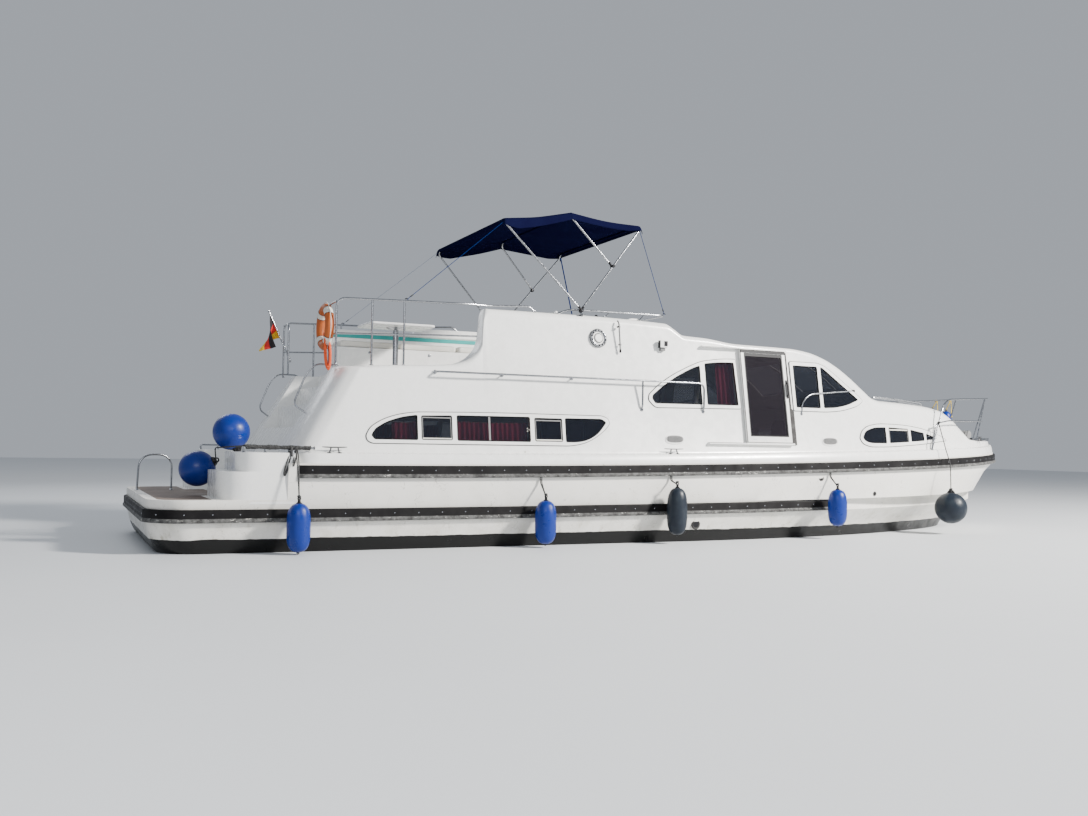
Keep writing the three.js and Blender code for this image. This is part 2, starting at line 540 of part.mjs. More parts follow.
// side doors, sliding aft outside the wall on a track
const LEAN = Math.atan(TUMBLEHOME);
const DOOR = { x0: 760, x1: 1550, z0: 1370, z1: 2712, off: 18, thick: 32, frame: 62 };
function onSide(side, geometry) {
  // a plate built on y = 0 with z from the door's foot is leaned onto the cabin side
  geometry.rotateX(-LEAN);
  geometry.translate(0, -(HALF_BEAM - WALL_FOOT - TUMBLEHOME * (DOOR.z0 - 1200)), DOOR.z0);
  const leaned = solid(geometry);
  return side < 0 ? leaned : mirrorY(leaned);
}
function slab(x0, x1, y0, y1, z0, z1) {
  const g = new THREE.BoxGeometry(x1 - x0, y1 - y0, z1 - z0);
  return g.translate((x0 + x1) / 2, (y0 + y1) / 2, (z0 + z1) / 2);
}
const doorHigh = (DOOR.z1 - DOOR.z0) / Math.cos(LEAN);
for (const [name, side] of [['stbd', -1], ['port', 1]]) {
  const { x0, x1, off, thick, frame } = DOOR;
  const leaf = onSide(side, slab(x0, x1, -off - thick, -off, 0, doorHigh));
  const hole = (from, to) => onSide(side, slab(x0 + frame, x1 - frame, from, to, frame, doorHigh - frame));
  const outer = hole(-off - thick - 5, -off - thick * 0.65);
  const inner = hole(-off - thick * 0.35, -off + 5);
  addPiece(`side_door_${name}`, leaf.subtract(outer).subtract(inner), 'glass');
  const foot = onSide(side, slab(x0 - 640, x1 + 30, -off - thick - 4, 20, -26, -0.5));
  const head = onSide(side, slab(x0 - 640, x1 + 30, -off - thick - 4, 20, doorHigh + 0.5, doorHigh + 18));
  cabin = cabin.add(foot).add(head);
}
addPiece('superstructure', cabin, 'gelcoat');

// running gear under the stern
const hubAft = TUBE_END - 96;
let screw = rod([hubAft, 0, SHAFT_Z], [TUBE_END - 6, 0, SHAFT_Z], 42, 12);
screw = screw.add(rod([hubAft, 0, SHAFT_Z], [TUBE_END + 150, 0, SHAFT_Z], 20.2, 16));
for (let i = 0; i < 4; i += 1) {
  const blade = new THREE.CylinderGeometry(95, 95, 14, 10);
  blade.scale(1, 1, 1.1);
  blade.rotateZ(Math.PI / 2);
  blade.translate(0, 0, 128);
  blade.rotateZ(Math.PI / 5);
  blade.rotateX((i * Math.PI) / 2);
  blade.translate(TUBE_END - 52, 0, SHAFT_Z);
  screw = screw.add(solid(blade));
}
addPiece('propeller', screw, 'bronze');
const blade = plateXZ([[-6520, -860], [-6490, -895], [-6090, -895], [-6070, -860],
  [-6090, -340], [-6480, -330], [-6520, -370]], -18, 18);
addPiece('rudder', blade.add(rod([STOCK_X, 0, -930], [STOCK_X, 0, 40], 25.2, 16)), 'bronze');

// flybridge furniture
const bench = box(-4500, -1700, 760, 1372, FLY_SOLE + GAP, 2660).add(box(-4500, -1700, 1250, 1372, 2600, 2960));
addPiece('fly_bench', bench, 'gelcoat');
addPiece('fly_cushion', box(-4470, -1730, 775, 1235, 2660 + GAP, 2745), 'cushion');
const tableTop = box(-4250, -3300, -120, 640, 2920, 2950);
addPiece('fly_table', tableTop.add(rod([-3775, 260, FLY_SOLE + GAP], [-3775, 260, 2925], 40, 12)), 'gelcoat');
const consoleSide = [[-1150, FLY_SOLE + GAP], [-700, FLY_SOLE + GAP], [-700, 3080], [-900, 3080], [-1100, 2900]];
addPiece('fly_console', plateXZ(consoleSide, -1370, -480), 'gelcoat');
const flySeatBack = box(-1960, -1860, -1180, -680, 2600, 3130);
const flySeat = box(-1950, -1480, -1180, -680, FLY_SOLE + GAP, 2700).add(flySeatBack);
addPiece('fly_helm_seat', flySeat, 'gelcoat');

// lower helm and saloon, seen through the glass
const helmSide = [[2250, SOLE_Z + GAP], [2950, SOLE_Z + GAP], [2950, 1750], [2420, 1750], [2330, 1400]];
addPiece('helm_console', plateXZ(helmSide, -1500, -250), 'black');
const helmSeat = box(1150, 1600, -1300, -760, SOLE_Z + GAP, 1380);
addPiece('helm_seat', helmSeat.add(box(1120, 1220, -1300, -760, 1300, 1900)), 'black');
const sofa = box(-900, 650, 850, 1560, SOLE_Z + GAP, 1300);
addPiece('saloon_sofa', sofa.add(box(-900, 650, 1440, 1560, 1200, 1720)), 'red');

// wheels: ring, spokes and hub on a shaft that enters the console
function wheel(name, centre, radius, tilt, reach) {
  const ring = new THREE.TorusGeometry(radius, 14, 5, 16);
  let body = solid(ring);
  for (const a of [0.5, 2.6, 4.7]) {
    body = body.add(rod([0, 0, 0], [radius * Math.cos(a), radius * Math.sin(a), 0], 9, 6));
  }
  body = body.add(rod([0, 0, -20], [0, 0, 14], 32, 10)).add(rod([0, 0, 0], [0, 0, reach], 10, 6));
  const g = toGeometry(body);
  g.rotateY(tilt);
  g.translate(...centre);
  addPiece(name, solid(g), 'steel');
}
const WHEEL_TILT = 1.2;
wheel('fly_wheel', [-1240, -930, 2800], 190, WHEEL_TILT, 141);
wheel('helm_wheel', [2200, -1030, 1560], 200, WHEEL_TILT, 197);

// tube rails; port ones are mirror images
const seatSkin = skin(GAP).add(cabinShell.translate([-GAP, 0, 0]));
const pair = (name, shape) => {
  addPiece(`${name}_stbd`, shape.subtract(seatSkin), 'steel');
  addPiece(`${name}_port`, mirrorY(shape).subtract(seatSkin), 'steel');
};
const handY = -(HALF_BEAM - WALL_FOOT - TUMBLEHOME * (2180 - 1200)) - 88;
const wallY = (z) => -(HALF_BEAM - WALL_FOOT - TUMBLEHOME * (z - 1200));
const handFoot = (x) => [[x, handY, 1836], [x, wallY(1790) + 14, 1790]];
let hand = tube([[-3850, wallY(2180) + 14, 2180], [-3850, handY, 2180], [78, handY, 2185], ...handFoot(78)]);
hand = hand.add(tube([[-910, handY, 2180], ...handFoot(-910)], TUBE_R, 30));
for (const x of [-2950, -1950]) hand = hand.add(tube([[x, handY, 2180], [x, wallY(2175) + 14, 2175]], 9, 0));
pair('side_handrail', hand);

const AFT_POST = -5085;
const railY = -1590;
let aftRail = tube([[AFT_POST, railY, 2200], [AFT_POST, railY, 3035], [-3450, railY, 3075],
  [-3050, -1500, 3085], [-2480, -1480, 3120], [-2400, -1480, 3035]]);
aftRail = aftRail.add(tube([[AFT_POST, railY, 2600], [-3560, railY, 2660], [-3245, -1560, 2672]], 11, 0));
for (const [x, top] of [[-4640, 3045], [-4230, 3055]]) {
  aftRail = aftRail.add(tube([[x, railY, 2215], [x, railY, top]], TUBE_R, 0));
}
aftRail = aftRail.add(tube([[AFT_POST, railY, 2990], [AFT_POST, -1240, 2990], [AFT_POST, -1240, 2200]]));
aftRail = aftRail.add(tube([[AFT_POST, railY, 2600], [AFT_POST, -1240, 2600]], 11, 0));
pair('fly_rail', aftRail);

const foreY = 1415;
const half = [[-2080, -foreY, 3035], [-1860, -foreY, 3130], [-330, -foreY, 3145]];
let foreRail = tube([...half, ...half.slice().reverse().map(([x, y, z]) => [x, -y, z])], TUBE_R, 150);
for (const [x, y] of [[-1250, foreY], [-700, foreY], [-1250, -foreY], [-700, -foreY]]) {
  foreRail = foreRail.add(tube([[x - 70, y, 3030], [x + 20, y, 3137]], 10, 0));
}
addPiece('fly_rail_fore', foreRail.subtract(seatSkin), 'steel');

const topRail = [[4500, -1590, 1300], [4880, -1450, 2040], [5100, -1340, 2140],
  [5900, -1000, 2185], [6600, -600, 2225], [7200, -220, 2262]];
const midRail = [[4430, -1655, 1290], [4540, -1625, 1730], [5000, -1450, 1790], [5500, -1250, 1800],
  [5900, -1010, 1812], [6600, -590, 1832], [7080, -200, 1845]];
const bothSides = (points, nose) => (
  [...points, nose, ...points.slice().reverse().map(([x, y, z]) => [x, -y, z])]
);
let pulpit = tube(bothSides(topRail, [7400, 0, 2275]), TUBE_R, 90);
pulpit = pulpit.add(tube(bothSides(midRail, [7285, 0, 1850]), 11, 90));
for (const y of [-330, 330]) pulpit = pulpit.add(tube([[6700, y, 1460], [7000, y * 1.02, 2250]], 11, 0));
pulpit = pulpit.add(tube([[7152, 0, 1460], [7368, 0, 2272]], 11, 0));
addPiece('pulpit', pulpit.subtract(seatSkin), 'steel');

pair('stair_rail', tube([[-5330, -1230, 1630], [-5500, -1180, 1735], [-5350, -1200, 2120],
  [-5240, -1200, 2245], [-4990, -1200, 2245],
  [-4960, -1200, 2190]], 11, 90));
const hoop = tube([[-7130, 720, 595], [-7110, 725, 1080], [-6690, 815, 1080], [-6690, 815, 595]], TUBE_R, 200, 8);
const onRim = box(-7300, STERN + 110, 600, 900, 500, PLATFORM_Z + GAP);
const onTeak = box(-7300, -6500, 600, 900, 500, PLATFORM_Z - 2 + GAP);
addPiece('platform_hoop', hoop.subtract(onRim).subtract(onTeak), 'steel');
const quarterTube = (radius) => (
  tube([[-6190, -1880, QUARTER_Z + GAP], [-6190, -1880, 1215], [-5380, -1900, 1205]], radius, 50)
);
let quarter = quarterTube(TUBE_R);
for (const x of [-5950, -5680]) {
  quarter = quarter.add(tube([[x, -1880, QUARTER_Z + GAP], [x, -1880, 1212]], 10, 0));
}
pair('quarter_rail', quarter);

// fenders hung by lanyards: x, height of the middle, length, path of the lanyard's upper end as [y, z]
const underRail = (x) => [[-(sheer(x) + 25), railFoot(x) - 60], [-(sheer(x) + 25), railFoot(x) + 8]];
const CYLINDERS = [
  ['a', -5610, 305, 570, [[-2075, 1040], [-2000, 1172], [-1900, 1204]]],
  ['b', -2520, 320, 560, underRail(-2520)],
  ['c', -590, 435, 640, underRail(-590)], ['d', 2120, 455, 540, underRail(2120)],
];
const FENDER_R = 135;
const railRoom = quarterTube(TUBE_R + GAP).add(upperRail.translate([0, 0, -GAP]))
  .add(tube(bothSides(midRail, [7285, 0, 1850]), 11 + GAP, 90));
for (const [name, x, z, long, path] of CYLINDERS) {
  const y = -(sheer(x) + RUB_DEPTH + FENDER_R + GAP);
  const h = long / 2;
  const low = [[0, -h], [45, -h + 4], [105, -h + 45], [FENDER_R, -h + 110]];
  const high = [[FENDER_R, h - 110], [105, h - 45], [45, h - 8], [28, h], [26, h + 40], [0, h + 40]];
  const profile = [...low, ...high];
  const body = lathe(profile, 10, (g) => g.translate(x, y, z));
  const line = tube([[x, y, z + h + 20], ...path.map(([a, b]) => [x, a, b])], 8, 0);
  addPiece(`fender_${name}`, body.add(line).subtract(railRoom), name === 'c' ? 'navy' : 'blue');
}
const BALLS = [
  ['ball_fender_quarter', [-6220, -1150, QUARTER_Z + 235 + GAP], 235, 'blue', null],
  ['ball_fender_platform', [-6550, -725, 934], 235, 'blue',
    [[-6550, -725, 1150], [-6540, -760, 1200], [-6160, -1878, 1216]]],
  ['ball_fender_bow', [4580, -1905, 400], 262, 'navy',
    [[4580, -1905, 650], [4600, -1800, 1130], [4600, -1790, 1290], [4620, -1596, 1738]]],
];
for (const [name, centre, r, colour, line] of BALLS) {
  const g = new THREE.SphereGeometry(r, 14, 8);
  g.rotateX(Math.PI / 2);
  g.translate(...centre);
  let ball = solid(g);
  if (line) ball = ball.add(tube(line, 8, 0)).subtract(railRoom);
  addPiece(name, ball, colour);
}

// at the stern: lifebuoy on the rail, staff and flag
const buoy = new THREE.TorusGeometry(232, 56, 8, 16);
buoy.rotateY(Math.PI / 2);
buoy.translate(AFT_POST - TUBE_R - 56 - GAP, -1300, 2700);
addPiece('lifebuoy', buoy, 'orange');
const staffFoot = new THREE.Vector3(-5045, 1262, 2440);
const staffTop = new THREE.Vector3(-5370, 1262, 3150);
const staff = (radius) => rod(staffFoot.toArray(), staffTop.toArray(), radius, 8);
addPiece('flagstaff', staff(11).subtract(mirrorY(aftRail).translate([0, GAP, 0])), 'steel');
const flagLine = new THREE.Vector3().subVectors(staffTop, staffFoot).normalize();
const flagAt = (d, drop) => [staffFoot.x + flagLine.x * d - 6 - drop, staffFoot.z + flagLine.z * d - 3 - drop * 0.9];
const cloth = plateXZ([flagAt(730, 0), flagAt(420, 0), flagAt(420, 160), flagAt(640, 160)], 1258, 1266);
addPiece('flag', cloth.subtract(staff(11 + GAP)), 'red');
const drumSide = [[0, 0], [75, 0], [75, 30], [45, 45], [45, 95], [70, 110], [70, 130], [0, 130]];
const drum = lathe(drumSide, 14, (g) => g.translate(6700, 0, 1485));
addPiece('windlass', drum.subtract(seatSkin), 'steel');

// bimini: an aft and a fore bow on the same deck hinges, and a middle bow on the fore bow's legs
const { x: FX, z: FZ } = BIMINI_FOOT;
const FORE = { x: -720, z: 4395, foot: 1478, top: 1300 };
const AFT = { x: -2780, z: 4285, foot: 1522, top: 1345 };
const JOINT_AT = 0.55;
const MID = {
  px: mix(FX, FORE.x, JOINT_AT), pz: mix(FZ, FORE.z - 60, JOINT_AT), x: -1760, z: 4485, foot: 1340, top: 1255,
};
const bow = (px, pz, foot, { x, z, top }) => tube([[px, -foot, pz], [x, -top, z - 60], [x, -top + 60, z],
  [x, top - 60, z], [x, top, z - 60], [px, foot, pz]], TUBE_R, 60);
const eye = (x, z, y) => rod([x, y - 13, z], [x, y + 13, z], 22, 10);
let foreBow = bow(FX, FZ, FORE.foot, FORE).add(eye(FX, FZ, FORE.foot)).add(eye(FX, FZ, -FORE.foot));
for (const s of [-1, 1]) {
  foreBow = foreBow.add(rod([MID.px, s * 1330, MID.pz], [MID.px, s * 1395, MID.pz], 7, 8));
}
let midBow = bow(MID.px, MID.pz, MID.foot, MID);
for (const s of [-1, 1]) midBow = midBow.add(eye(MID.px, MID.pz, s * MID.foot));
for (const s of [-1, 1]) {
  midBow = midBow.subtract(rod([MID.px, s * 1300, MID.pz], [MID.px, s * 1396, MID.pz], 7.6, 8));
}
let aftBow = bow(FX, FZ, AFT.foot, AFT).add(eye(FX, FZ, AFT.foot)).add(eye(FX, FZ, -AFT.foot));
for (const s of [-1, 1]) {
  const bore = rod([FX, s * 1440, FZ], [FX, s * 1560, FZ], 9, 10);
  foreBow = foreBow.subtract(bore);
  aftBow = aftBow.subtract(bore);
}
addPiece('bimini_fore_bow', foreBow, 'steel');
addPiece('bimini_mid_bow', midBow, 'steel');
addPiece('bimini_aft_bow', aftBow, 'steel');
for (const [name, s] of [['stbd', -1], ['port', 1]]) {
  const pin = rod([FX, s * 1460, FZ], [FX, s * 1541, FZ], 8.2, 10);
  const plate = box(FX - 40, FX + 40, Math.min(s * 1460, s * 1545), Math.max(s * 1460, s * 1545), 3052, 3068);
  const cheek = box(FX - 18, FX + 18, Math.min(s * 1494, s * 1506), Math.max(s * 1494, s * 1506), 3060, FZ + 16);
  addPiece(`bimini_hinge_${name}`, pin.add(plate).add(cheek).subtract(seatSkin), 'steel');
}
// canopy over the three bows: a thick sheet with side flaps
const roofLine = [[AFT.x - 42, AFT.z - 45], [AFT.x - 20, AFT.z + 16], [MID.x, MID.z + 16],
  [FORE.x + 20, FORE.z + 16], [FORE.x + 42, FORE.z - 45]];
const under = [[FORE.x + 38, FORE.z - 45], [FORE.x + 16, FORE.z + 13.6], [MID.x, MID.z + 13.6],
  [AFT.x - 16, AFT.z + 13.6], [AFT.x - 38, AFT.z - 45]];
addPiece('bimini_canopy', plateXZ([...roofLine, ...under], -1300, 1300), 'canvas');

export default boat;
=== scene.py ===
# %% [markdown]
# # A river houseboat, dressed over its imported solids
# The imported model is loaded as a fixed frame: every solid already lies where it belongs. The pieces made
# below take the place of the solids that need a smoother skin, and ride on the same bodies, so that the
# doors, rudder, wheels and awning still move. Tables are in millimetres, as a boatyard draws, and the
# meshes are in metres.

import math

import bpy
import numpy as np
from mathutils import Matrix
from mathutils.geometry import delaunay_2d_cdt


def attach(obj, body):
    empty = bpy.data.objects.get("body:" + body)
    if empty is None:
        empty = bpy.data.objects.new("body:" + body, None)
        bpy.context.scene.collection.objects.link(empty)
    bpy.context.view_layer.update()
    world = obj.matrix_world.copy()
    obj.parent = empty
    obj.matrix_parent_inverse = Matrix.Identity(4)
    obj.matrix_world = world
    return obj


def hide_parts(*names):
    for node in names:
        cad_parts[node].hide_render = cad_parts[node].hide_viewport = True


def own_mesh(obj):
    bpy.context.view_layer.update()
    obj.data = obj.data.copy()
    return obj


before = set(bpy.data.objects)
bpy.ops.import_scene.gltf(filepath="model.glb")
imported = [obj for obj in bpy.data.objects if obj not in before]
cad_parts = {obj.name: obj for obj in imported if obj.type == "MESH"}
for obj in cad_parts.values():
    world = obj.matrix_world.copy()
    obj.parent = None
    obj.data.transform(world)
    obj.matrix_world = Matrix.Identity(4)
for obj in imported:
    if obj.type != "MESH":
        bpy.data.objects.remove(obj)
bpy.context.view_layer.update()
MM = 0.001

# %% [markdown]
# The camera stands where the photographer stood, 1.3 m over the water off the starboard quarter and
# about 14 m from the hull. Its turn, tilt and small roll come from lines that are straight on the real
# boat. Three unit vectors, right, up and back, are the columns of the camera's matrix.

# %% Camera
YAW, PITCH, ROLL = np.radians([24.9, 2.01, 0.93])
STAND_AT = [-8.22, -14.36, 1.282]
FOCAL, WIDTH = 1068, 1088    # the focal length and the photograph's width, both in its pixels
forward = np.array([math.sin(YAW) * math.cos(PITCH), math.cos(YAW) * math.cos(PITCH), math.sin(PITCH)])
level = np.array([math.cos(YAW), -math.sin(YAW), 0.0])
above = np.cross(level, forward)
right = math.cos(ROLL) * level + math.sin(ROLL) * above
upward = math.cos(ROLL) * above - math.sin(ROLL) * level
lens = bpy.data.cameras.new("camera")
lens.sensor_width = 36.0
lens.lens = lens.sensor_width * FOCAL / WIDTH
camera = bpy.data.objects.new("camera", lens)
bpy.context.scene.collection.objects.link(camera)
turn = np.eye(4)
turn[:3, 0], turn[:3, 1], turn[:3, 2] = right, upward, -forward
turn[:3, 3] = STAND_AT
camera.matrix_world = Matrix(turn.tolist())
bpy.context.scene.camera = camera
print("lens", round(lens.lens, 2))

# %% [markdown]
# A shape here is a pair: an array of points, and a list of arrays of faces. Small helpers weld shapes
# together, turn a grid of points into quads, and hand the result to Blender as one object at the origin.

# %% Shapes and pieces
def weld(*shapes):
    """Several shapes as one: the points are stacked, and each face's numbers move up by those before it."""
    points, faces, start = [], [], 0
    for p, f in shapes:
        points.append(np.asarray(p, float))
        faces += [np.asarray(one) + start for one in f]
        start += len(p)
    return np.vstack(points), faces


def quads(rows, columns, loop_rows=False, loop_columns=False):
    """Faces of a grid: corner (i, j) joins (i, j+1), (i+1, j+1) and (i+1, j)."""
    i = np.arange(rows if loop_rows else rows - 1)[:, None]
    j = np.arange(columns if loop_columns else columns - 1)[None, :]
    a, b = i * columns + j, i * columns + (j + 1) % columns
    c, d = ((i + 1) % rows) * columns + (j + 1) % columns, ((i + 1) % rows) * columns + j
    return np.stack([a, b, c, d], -1).reshape(-1, 4)


def outward(shape):
    """The closed shape with its faces turned outwards, which makes the sum of a . (b x c) positive."""
    points, faces = shape
    total = 0.0
    for f in faces:
        for k in range(1, f.shape[1] - 1):
            a, b, c = points[f[:, 0]], points[f[:, k]], points[f[:, k + 1]]
            total += np.einsum("ij,ij->i", a, np.cross(b, c)).sum()
    return (points, [f[:, ::-1] for f in faces]) if total < 0 else shape


def capped(grid):
    """Rows of closed rings as one closed shape, with a face over the first ring and over the last."""
    rows, n = grid.shape[:2]
    k = np.arange(n)[None]
    return outward((grid.reshape(-1, 3), [quads(rows, n, False, True), k[:, ::-1], (rows - 1) * n + k]))


def mirrored(shape):
    """The port twin of a starboard shape: y changes sign, and every face is turned back."""
    points, faces = shape
    return points * [1, -1, 1], [f[:, ::-1] for f in faces]


def as_object(name, shape):
    points, faces = shape
    mesh = bpy.data.meshes.new(name)
    mesh.from_pydata(np.asarray(points).tolist(), [], [row for f in faces for row in f.tolist()])
    thing = bpy.data.objects.new(name, mesh)
    bpy.context.scene.collection.objects.link(thing)
    return thing


def piece(name, shape, finish, body="boat", sharp=35, bevel=0.0, stands_for=None, slot=None):
    """One object at the origin, in metres, that rides on a body. sharp is the angle kept as an edge."""
    thing = as_object(name, (np.asarray(shape[0]) * MM, shape[1]))
    mesh = thing.data
    mesh.validate()
    mesh.materials.append(finish.material)
    mesh.polygons.foreach_set("use_smooth", np.ones(len(mesh.polygons), bool))
    if bevel:
        rounding = thing.modifiers.new("rounding", "BEVEL")
        rounding.width, rounding.segments, rounding.limit_method = bevel * MM, 3, "ANGLE"
        rounding.angle_limit = math.radians(40)
        rounding.harden_normals = True
    mesh.set_sharp_from_angle(angle=math.radians(sharp))
    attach(thing, body)
    if stands_for:
        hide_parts(stands_for)
    slot or finish.slot
    return thing


def pair(name, shape, finish, body="boat", stands_for="", **more):
    """A starboard piece and its port mirror; in the names, * stands for the side."""
    made = []
    for side, twin in (("stbd", shape), ("port", mirrored(shape))):
        mine, on, node = (text.replace("*", side) for text in (name, body, stands_for))
        made.append(piece(mine, twin, finish, on, stands_for=node, **more))
    return made


def corners(path, cut, steps, closed=False):
    """Each corner C becomes the curve (1-t)^2 A + 2t(1-t) C + t^2 B; A and B lie back along its sides."""
    path = np.asarray(path, float)
    n = len(path)
    out = [] if closed else [path[:1]]
    for i in range(0 if closed else 1, n if closed else n - 1):
        before, here, after = path[i - 1], path[i], path[(i + 1) % n]
        u, w = before - here, after - here
        lu, lw = np.linalg.norm(u), np.linalg.norm(w)
        bend = np.degrees(np.arccos(np.clip(u @ w / (lu * lw), -1, 1)))
        r = cut(180 - bend) if callable(cut) else cut
        r = min(r, lu * 0.45, lw * 0.45)
        t = np.linspace(0, 1, steps)[:, None]
        a, b = here + u / lu * r, here + w / lw * r
        out.append((1 - t) ** 2 * a + 2 * t * (1 - t) * here + t**2 * b)
    if not closed:
        out.append(path[-1:])
    return np.vstack(out)


def unit(vectors):
    """Rows of vectors, each divided by its length."""
    return vectors / np.linalg.norm(vectors, axis=1)[:, None]


def swept(path, radius, bend=120, sides=14, steps=8, closed=False, flat=1.0):
    """A tube: point = P + r cos(a) N + flat r sin(a) B, with N carried along the path without a twist."""
    path = corners(path, bend, steps, closed)
    keep = np.r_[True, np.linalg.norm(np.diff(path, axis=0), axis=1) > 1e-6]
    path = path[keep]
    if closed and np.linalg.norm(path[0] - path[-1]) < 1e-6:
        path = path[:-1]
    n = len(path)
    t = unit((np.roll(path, -1, 0) - np.roll(path, 1, 0)) if closed else np.gradient(path, axis=0))
    side = np.cross(t[0], [0, 0, 1] if abs(t[0][2]) < 0.9 else [1, 0, 0])
    normals = np.empty((n, 3))
    for i in range(n):
        side = side - t[i] * (side @ t[i])
        side /= np.linalg.norm(side)
        normals[i] = side
    if closed:
        end = normals[-1] - t[0] * (normals[-1] @ t[0])
        end /= np.linalg.norm(end)
        back = math.atan2(np.cross(end, normals[0]) @ t[0], end @ normals[0])
        a = np.linspace(0, back, n)[:, None]
        normals = normals * np.cos(a) + np.cross(t, normals) * np.sin(a)
    across = np.cross(t, normals)
    a = np.arange(sides) * 2 * np.pi / sides
    r = np.broadcast_to(np.asarray(radius, float), (n,))[:, None, None]
    skin = path[:, None] + r * (
        np.cos(a)[:, None] * normals[:, None] + flat * np.sin(a)[:, None] * across[:, None])
    return outward((skin.reshape(-1, 3), [quads(n, sides, True, True)])) if closed else capped(skin)


def hoop(path, radius, sides=8):
    """A closed thin tube through a ring of points."""
    return swept(path, radius, 0, sides, 1, closed=True)


def wire(path, radius, sides=8, flat=1.0):
    """A thin tube straight from point to point."""
    return swept(path, radius, 0, sides, 1, flat=flat)


def circle(n):
    """n angles round a circle."""
    return np.linspace(0, 2 * np.pi, n + 1)[:-1]


def turned(profile, at=(0, 0, 0), sides=40, axis="z"):
    """A lathe shape: (r, h) becomes (r cos a, r sin a, h). The profile starts and ends on the axis."""
    r, h = np.asarray(profile, float).T
    a = np.arange(sides) * 2 * np.pi / sides
    rows = len(r) - 2
    ring = [r[1:-1, None] * np.cos(a), r[1:-1, None] * np.sin(a),
        np.broadcast_to(h[1:-1, None], (rows, sides))]
    points = np.vstack([np.stack(ring, -1).reshape(-1, 3), [[0, 0, h[0]], [0, 0, h[-1]]]])
    k = np.arange(sides)
    after, tip, last = (k + 1) % sides, np.full(sides, rows * sides), (rows - 1) * sides
    ends = [np.stack([tip, after, k], -1), np.stack([tip + 1, last + k, last + after], -1)]
    if axis != "z":
        points = points[:, [2, 0, 1] if axis == "x" else [1, 2, 0]]
    return outward((points + np.asarray(at, float), [quads(rows, sides, False, True), *ends]))


def block(low, high):
    """A box between two corners."""
    (x0, y0, z0), (x1, y1, z1) = low, high
    foot = [[x0, y0, z0], [x1, y0, z0], [x1, y1, z0], [x0, y1, z0]]
    top = [[x0, y0, z1], [x1, y0, z1], [x1, y1, z1], [x0, y1, z1]]
    faces = [[0, 3, 2, 1], [4, 5, 6, 7], [0, 1, 5, 4], [1, 2, 6, 5], [2, 3, 7, 6], [3, 0, 4, 7]]
    return outward((np.array(foot + top, float), [np.array(faces)]))


def slab(outline, y0, y1):
    """An outline (x, z) carried across the boat from y0 to y1."""
    x, z = np.asarray(outline, float).T
    return capped(np.stack([np.column_stack([x, np.full(len(x), y), z]) for y in (y0, y1)]))


print("helpers ready")

# %% [markdown]
# ## Finishes
# Each finish is a small node tree on the Principled shader. A noise or a band, read from Object
# coordinates, lays a second colour over the first, a finer one lifts the surface a little as bump, and
# plain numbers are set straight on the shader's sockets.

# %% Node helpers
class Finish:
    """A material whose nodes are added by short calls, and a slot name that it keeps."""

    def __init__(self, name, slot, colour, rough, metal=0.0, **sockets):
        self.material = bpy.data.materials.new(name)
        self.material.use_nodes = True
        self.slot, self.colour, self.relief = slot, (*colour, 1), None
        self.tree = self.material.node_tree
        self.shader = self.tree.nodes["Principled BSDF"]
        self.where = self.node("TexCoord")["Object"]
        sockets.update(Base_Color=self.colour, Roughness=rough, Metallic=metal)
        for key, value in sockets.items():
            self.fill(self.shader.inputs[key.replace("_", " ")], value)

    def fill(self, socket, value):
        """A socket takes a plain value, or a link from another node."""
        if isinstance(value, bpy.types.NodeSocket):
            self.tree.links.new(value, socket)
        elif value is not None:
            socket.default_value = value

    def node(self, kind, inputs=(), **settings):
        """A new node: its settings, then each input by its name or place. Its outputs are given back."""
        new = self.tree.nodes.new("ShaderNode" + kind)
        for key, value in settings.items():
            setattr(new, key, value)
        for key, value in dict(inputs).items():
            self.fill(new.inputs[key], value)
        return new.outputs

    def noise(self, scale, detail=4.0, stretch=None, rough=0.55):
        """Noise in Object coordinates, which are first multiplied by stretch along each axis."""
        where = self.where
        if stretch:
            where = self.node("Mapping", {"Scale": stretch, "Vector": self.where})["Vector"]
        inputs = {"Scale": scale, "Detail": detail, "Roughness": rough, "Vector": where}
        return self.node("TexNoise", inputs)["Fac"]

    def axis(self, letter):
        return self.node("SeparateXYZ", {0: self.where})[letter]

    def attribute(self, name):
        return self.node("Attribute", attribute_name=name)["Fac"]

    def maths(self, how, a, b=None):
        return self.node("Math", {0: a, 1: b}, operation=how)[0]

    def times(self, a, b):
        return self.maths("MULTIPLY", a, b)

    def span(self, value, low, high, out_low=0.0, out_high=1.0):
        """value between low and high, moved to between out_low and out_high and held there."""
        sides = {"From Min": low, "From Max": high, "To Min": out_low, "To Max": out_high}
        return self.node("MapRange", {"Value": value, **sides})["Result"]

    def over(self, share, colour):
        """Lays a colour over what is there, by a share from 0 to 1."""
        inputs = {"Factor": share, "A": self.colour, "B": (*colour, 1)}
        self.colour = self.node("Mix", inputs, data_type="RGBA")["Result"]
        self.fill(self.shader.inputs["Base Color"], self.colour)
        return self

    def clouds(self, colour, low, high, share, scale, detail, **more):
        """Lays a colour on in clouds: a noise between low and high gives up to that share of it."""
        return self.over(self.span(self.noise(scale, detail, **more), low, high, 0, share), colour)

    def mottle(self, low, high, scale, detail):
        """Roughness that a noise moves between low and high."""
        self.fill(self.shader.inputs["Roughness"], self.span(self.noise(scale, detail), 0.3, 0.7, low, high))
        return self

    def bump(self, value, strength, distance):
        """Small relief, over any that is there."""
        inputs = {"Strength": strength, "Distance": distance, "Height": value, "Normal": self.relief}
        self.relief = self.node("Bump", inputs)["Normal"]
        self.fill(self.shader.inputs["Normal"], self.relief)
        return self

    def grain(self, strength, distance, scale, detail, **more):
        """Relief from a noise."""
        return self.bump(self.noise(scale, detail, **more), strength, distance)


